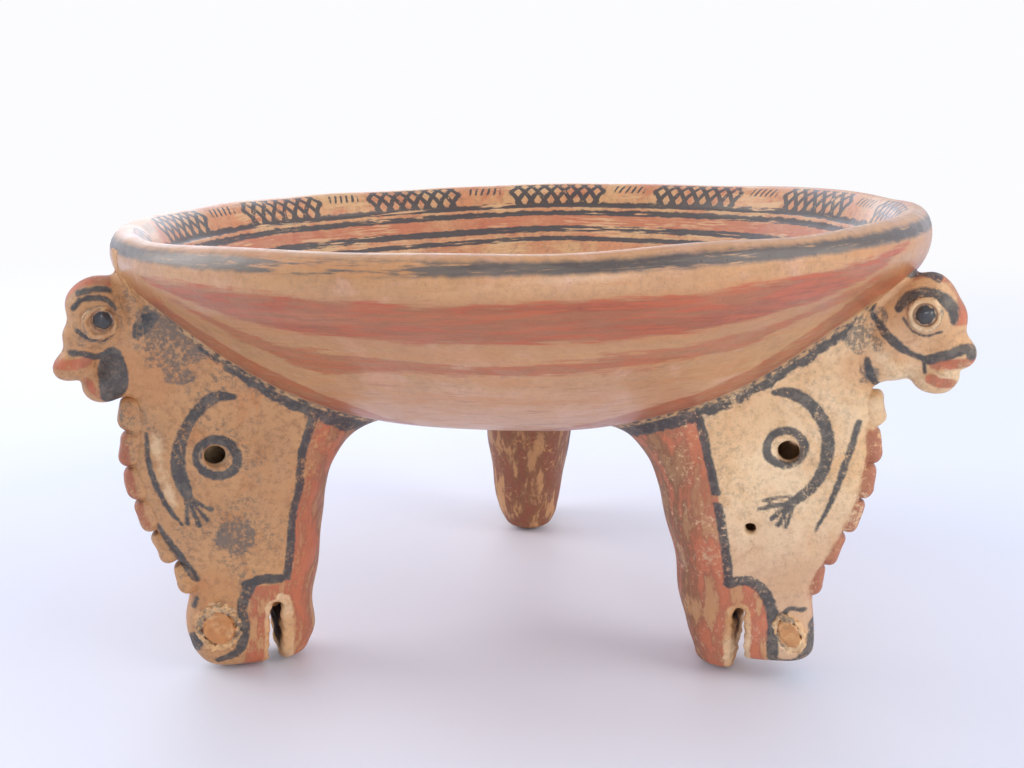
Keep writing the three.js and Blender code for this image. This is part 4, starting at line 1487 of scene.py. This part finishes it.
def eye_finish(leg):
    paint = Shader(leg.name + "_fired_eye")
    wander = paint.wander(0.3, 0.9, 5.0)
    away = paint.attribute("pupil")
    pupil = paint.step(away + wander, 0.62, 0.5)
    # A brown ring between the pupil and its raised band is painted shade in the dip there
    groove_shade = paint.step(away, 0.54, 0.6) * paint.step(away, 0.74, 0.66)
    rim = paint.worn(paint.step(paint.attribute("ring") + wander, 0.84, 0.96), 0.44, 0.56)
    colour = paint.mix(groove_shade * 0.75, paint.ground(leg.paint["tones"], leg.paint["grime"]), BROWN)
    colour = paint.mix(rim * 0.7, colour, BLACK_WORN)
    colour = paint.mix(pupil * 0.96, paint.aged_and_shaded(colour, BUFF_LIGHT), BLACK)
    return paint.shade(colour, paint.gloss(0.36, 0.5) - pupil * 0.28, paint.relief(), 0.1)


def pellet_paint(leg):
    def paint(points):
        x, _, z = points.T
        nostril_x, nostril_z = nostril_place(leg)
        return {"ring": nostril_ring(leg, x - nostril_x, z - nostril_z)}
    return paint


def pellet_finish(leg):
    paint = Shader(leg.name + "_fired_pellet")
    crumb = paint.step(paint.attribute("ring") + paint.wander(0.5, 0.7, 5.0), 0.96, 1.04)
    bed = paint.ground(RAW_TONES, leg.paint["grime"])
    colour = paint.mix(crumb, paint.ground(PELLET_TONES, 0.3), bed)
    blot = paint.worn(paint.patches(0.46, 0.54, 0.16, 4.0), 0.36, 0.5)
    colour = paint.mix(blot * crumb * 0.75, colour, BLACK_WORN)
    colour = paint.aged_and_shaded(colour, BUFF_LIGHT)
    return paint.shade(colour, paint.gloss(0.6, 0.75), paint.relief() + crumb * 0.2, 0.22)


def ball_finish(leg):
    paint = Shader(leg.name + "_fired_ball")
    return paint.shade(paint.ground(PELLET_TONES, 0.3), paint.gloss(0.65, 0.8), paint.relief(), 0.2)


# Pieces of a leg, each in a box that holds it, sampled at a spacing that suits its detail

SHELL_VOXEL = 0.65
LUTED_VOXEL = 0.4
EYE_VOXEL = 0.22
NOSTRIL_VOXEL = 0.28
BALL_VOXEL = 0.35
BALL_SHRINK = 0.1


def make_shell(leg):
    box = (-60, -24, -1.3), (34, 24, LIP_BOTTOM + 7)
    leg_object(leg, "leg_shell", functools.partial(shell_field, leg), box, SHELL_VOXEL,
               leg_finish(leg), leg_paint(leg))


def make_crest(leg):
    def field(x, y, z):
        return luted(crest_field(leg, x, y, z), base_field(leg, x, y, z), CREST_FILLET)

    low, high = (share * leg.height for share in CREST_RISE_SHARES)
    leg_object(leg, "crest", field, ((10, -6, low - 3), (36, 6, high + 3)), LUTED_VOXEL,
               luted_finish(leg, "crest", 0.3, 0.42, 0.58, 0.18), leg_paint(leg))


def make_head(leg):
    def field(x, y, z):
        return luted(head_field(leg, x, y, z), base_field(leg, x, y, z), HEAD_FILLET)

    box = (leg.head_x - 21, -10.5, leg.head_z - 27), (leg.head_x + 15, 10.5, leg.head_z + 12)
    leg_object(leg, "head", field, box, LUTED_VOXEL,
               luted_finish(leg, "head", 0.25, 0.36, 0.54, 0.16), leg_paint(leg))


def make_eye(leg, side, word):
    box = box_round((leg.head_x, side * HEAD_WIDTH / 2, leg.eye_z), (5.5, 3, 5.5))
    leg_object(leg, f"head_{word}_eye", functools.partial(eye_field, leg, side), box, EYE_VOXEL,
               eye_finish(leg), eye_paint(leg))


def make_nostril(leg, side, word):
    centre_x, centre_z = nostril_place(leg)
    half, _ = flank_frame(leg, centre_x, centre_z)
    box = box_round((centre_x, side * half, centre_z), (8, 5, 8))
    leg_object(leg, f"{word}_nostril", functools.partial(nostril_field, leg, side), box, NOSTRIL_VOXEL,
               pellet_finish(leg), pellet_paint(leg))


def make_ball(leg, number):
    """A rattle ball where the solid one lies at rest."""
    low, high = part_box(f"{leg.name}_rattle_ball_{number}")
    radius = (high.z - low.z) / 2 / MILLIMETRE
    middle = into_leg(leg, *((low + high) / 2 / MILLIMETRE))

    def field(x, y, z):
        across, side, up = (value - start for value, start in zip((x, y, z), middle))
        away = np.sqrt(across ** 2 + side ** 2 + up ** 2)
        return away - radius + BALL_SHRINK - leg_lumps(leg, x, y, z, BALL_LUMPS, number)

    leg_object(leg, f"rattle_ball_{number}", field, box_round(middle, 5), BALL_VOXEL,
               ball_finish(leg), body=f"{leg.name}_ball_{number}")


def make_leg(leg):
    make_shell(leg)
    make_crest(leg)
    make_head(leg)
    for side, word in ((1, "left"), (-1, "right")):
        make_eye(leg, side, word)
        make_nostril(leg, side, word)
    for number in (1, 2):
        make_ball(leg, number)


# Studio, in metres but for the floor's fade, which is in millimetres

FLOOR_HALF = 6.0
FADE_FROM = 220.0
FADE_TO = 1000.0
LIGHT_IN_FRONT = 0.56
LIGHT_BEHIND = 1.1

# Square soft boxes: name, place, size, watts and colour
LIGHTS = [
    ("key", (0.95, -0.35, 0.65), 0.7, 4.8, srgb(255, 249, 240)),
    ("side", (-1.0, 0.1, 0.6), 0.7, 5.0, srgb(255, 250, 244)),
    ("window", (-0.3, 1.1, 0.5), 0.9, 3.4, srgb(236, 243, 255)),
    ("glint", (0.25, -0.8, 0.2), 0.2, 1.4, srgb(255, 255, 255)),
]


def make_floor():
    """Pale paper that fades into the white backdrop away from the bowl, for what the camera sees of it."""
    corners = [(x * FLOOR_HALF, y * FLOOR_HALF, 0) for x, y in ((-1, -1), (1, -1), (1, 1), (-1, 1))]
    mesh = bpy.data.meshes.new("floor")
    mesh.from_pydata(corners, [], [(0, 1, 2, 3)])
    floor = bpy.data.objects.new("floor", mesh)
    paper = Shader("floor_paper")
    paper.feed(paper.surface.inputs["Base Color"], PAPER)
    paper.feed(paper.surface.inputs["Roughness"], 0.6)
    x, y, _ = paper.split(paper.here)
    fade = paper.step(paper.length(x, y), FADE_FROM, FADE_TO) * paper.camera_sees()
    white = paper.value("Emission", 0, {"Color": WHITE})
    surface = Value(paper, paper.surface.outputs[0])
    paper.feed(paper.output.inputs[0], paper.value("MixShader", 0, {0: fade, 1: surface, 2: white}))
    mesh.materials.append(paper.material)
    bpy.context.collection.objects.link(floor)


def make_world():
    """Soft cool light from all round, stronger from behind as from a window, before a white backdrop."""
    world = bpy.data.worlds.new("studio")
    world.use_nodes = True
    nodes = Nodes(world.node_tree)
    nodes.tree.nodes.clear()
    behind = nodes.split(nodes.value("TexCoord", "Generated", {}))[1]
    inputs = {"Value": behind, "From Min": -1.0, "To Min": LIGHT_IN_FRONT, "To Max": LIGHT_BEHIND}
    light = nodes.value("Background", 0, {"Color": SKY, "Strength": nodes.value("MapRange", 0, inputs)})
    seen = nodes.value("Background", 0, {"Color": WHITE})
    backdrop = nodes.value("MixShader", 0, {0: nodes.camera_sees(), 1: light, 2: seen})
    nodes.node("OutputWorld", {0: backdrop})
    bpy.context.scene.world = world


def make_light(name, place, size, watts, colour):
    """A square soft box that looks at the bowl."""
    data = bpy.data.lights.new(name, "AREA")
    data.shape = "SQUARE"
    data.size = size
    data.energy = watts
    data.color = colour[:3]
    light = bpy.data.objects.new(name, data)
    light.location = place
    light.visible_camera = False
    aim = Vector((0, 0, RIM_HEIGHT / 2 * MILLIMETRE))
    light.rotation_euler = (aim - Vector(place)).to_track_quat("-Z", "Y").to_euler()
    bpy.context.collection.objects.link(light)


make_camera()
make_floor()
make_world()
for light in LIGHTS:
    make_light(*light)
make_bowl()
for leg in legs:
    make_leg(leg)
bpy.context.scene.view_settings.view_transform = "Standard"
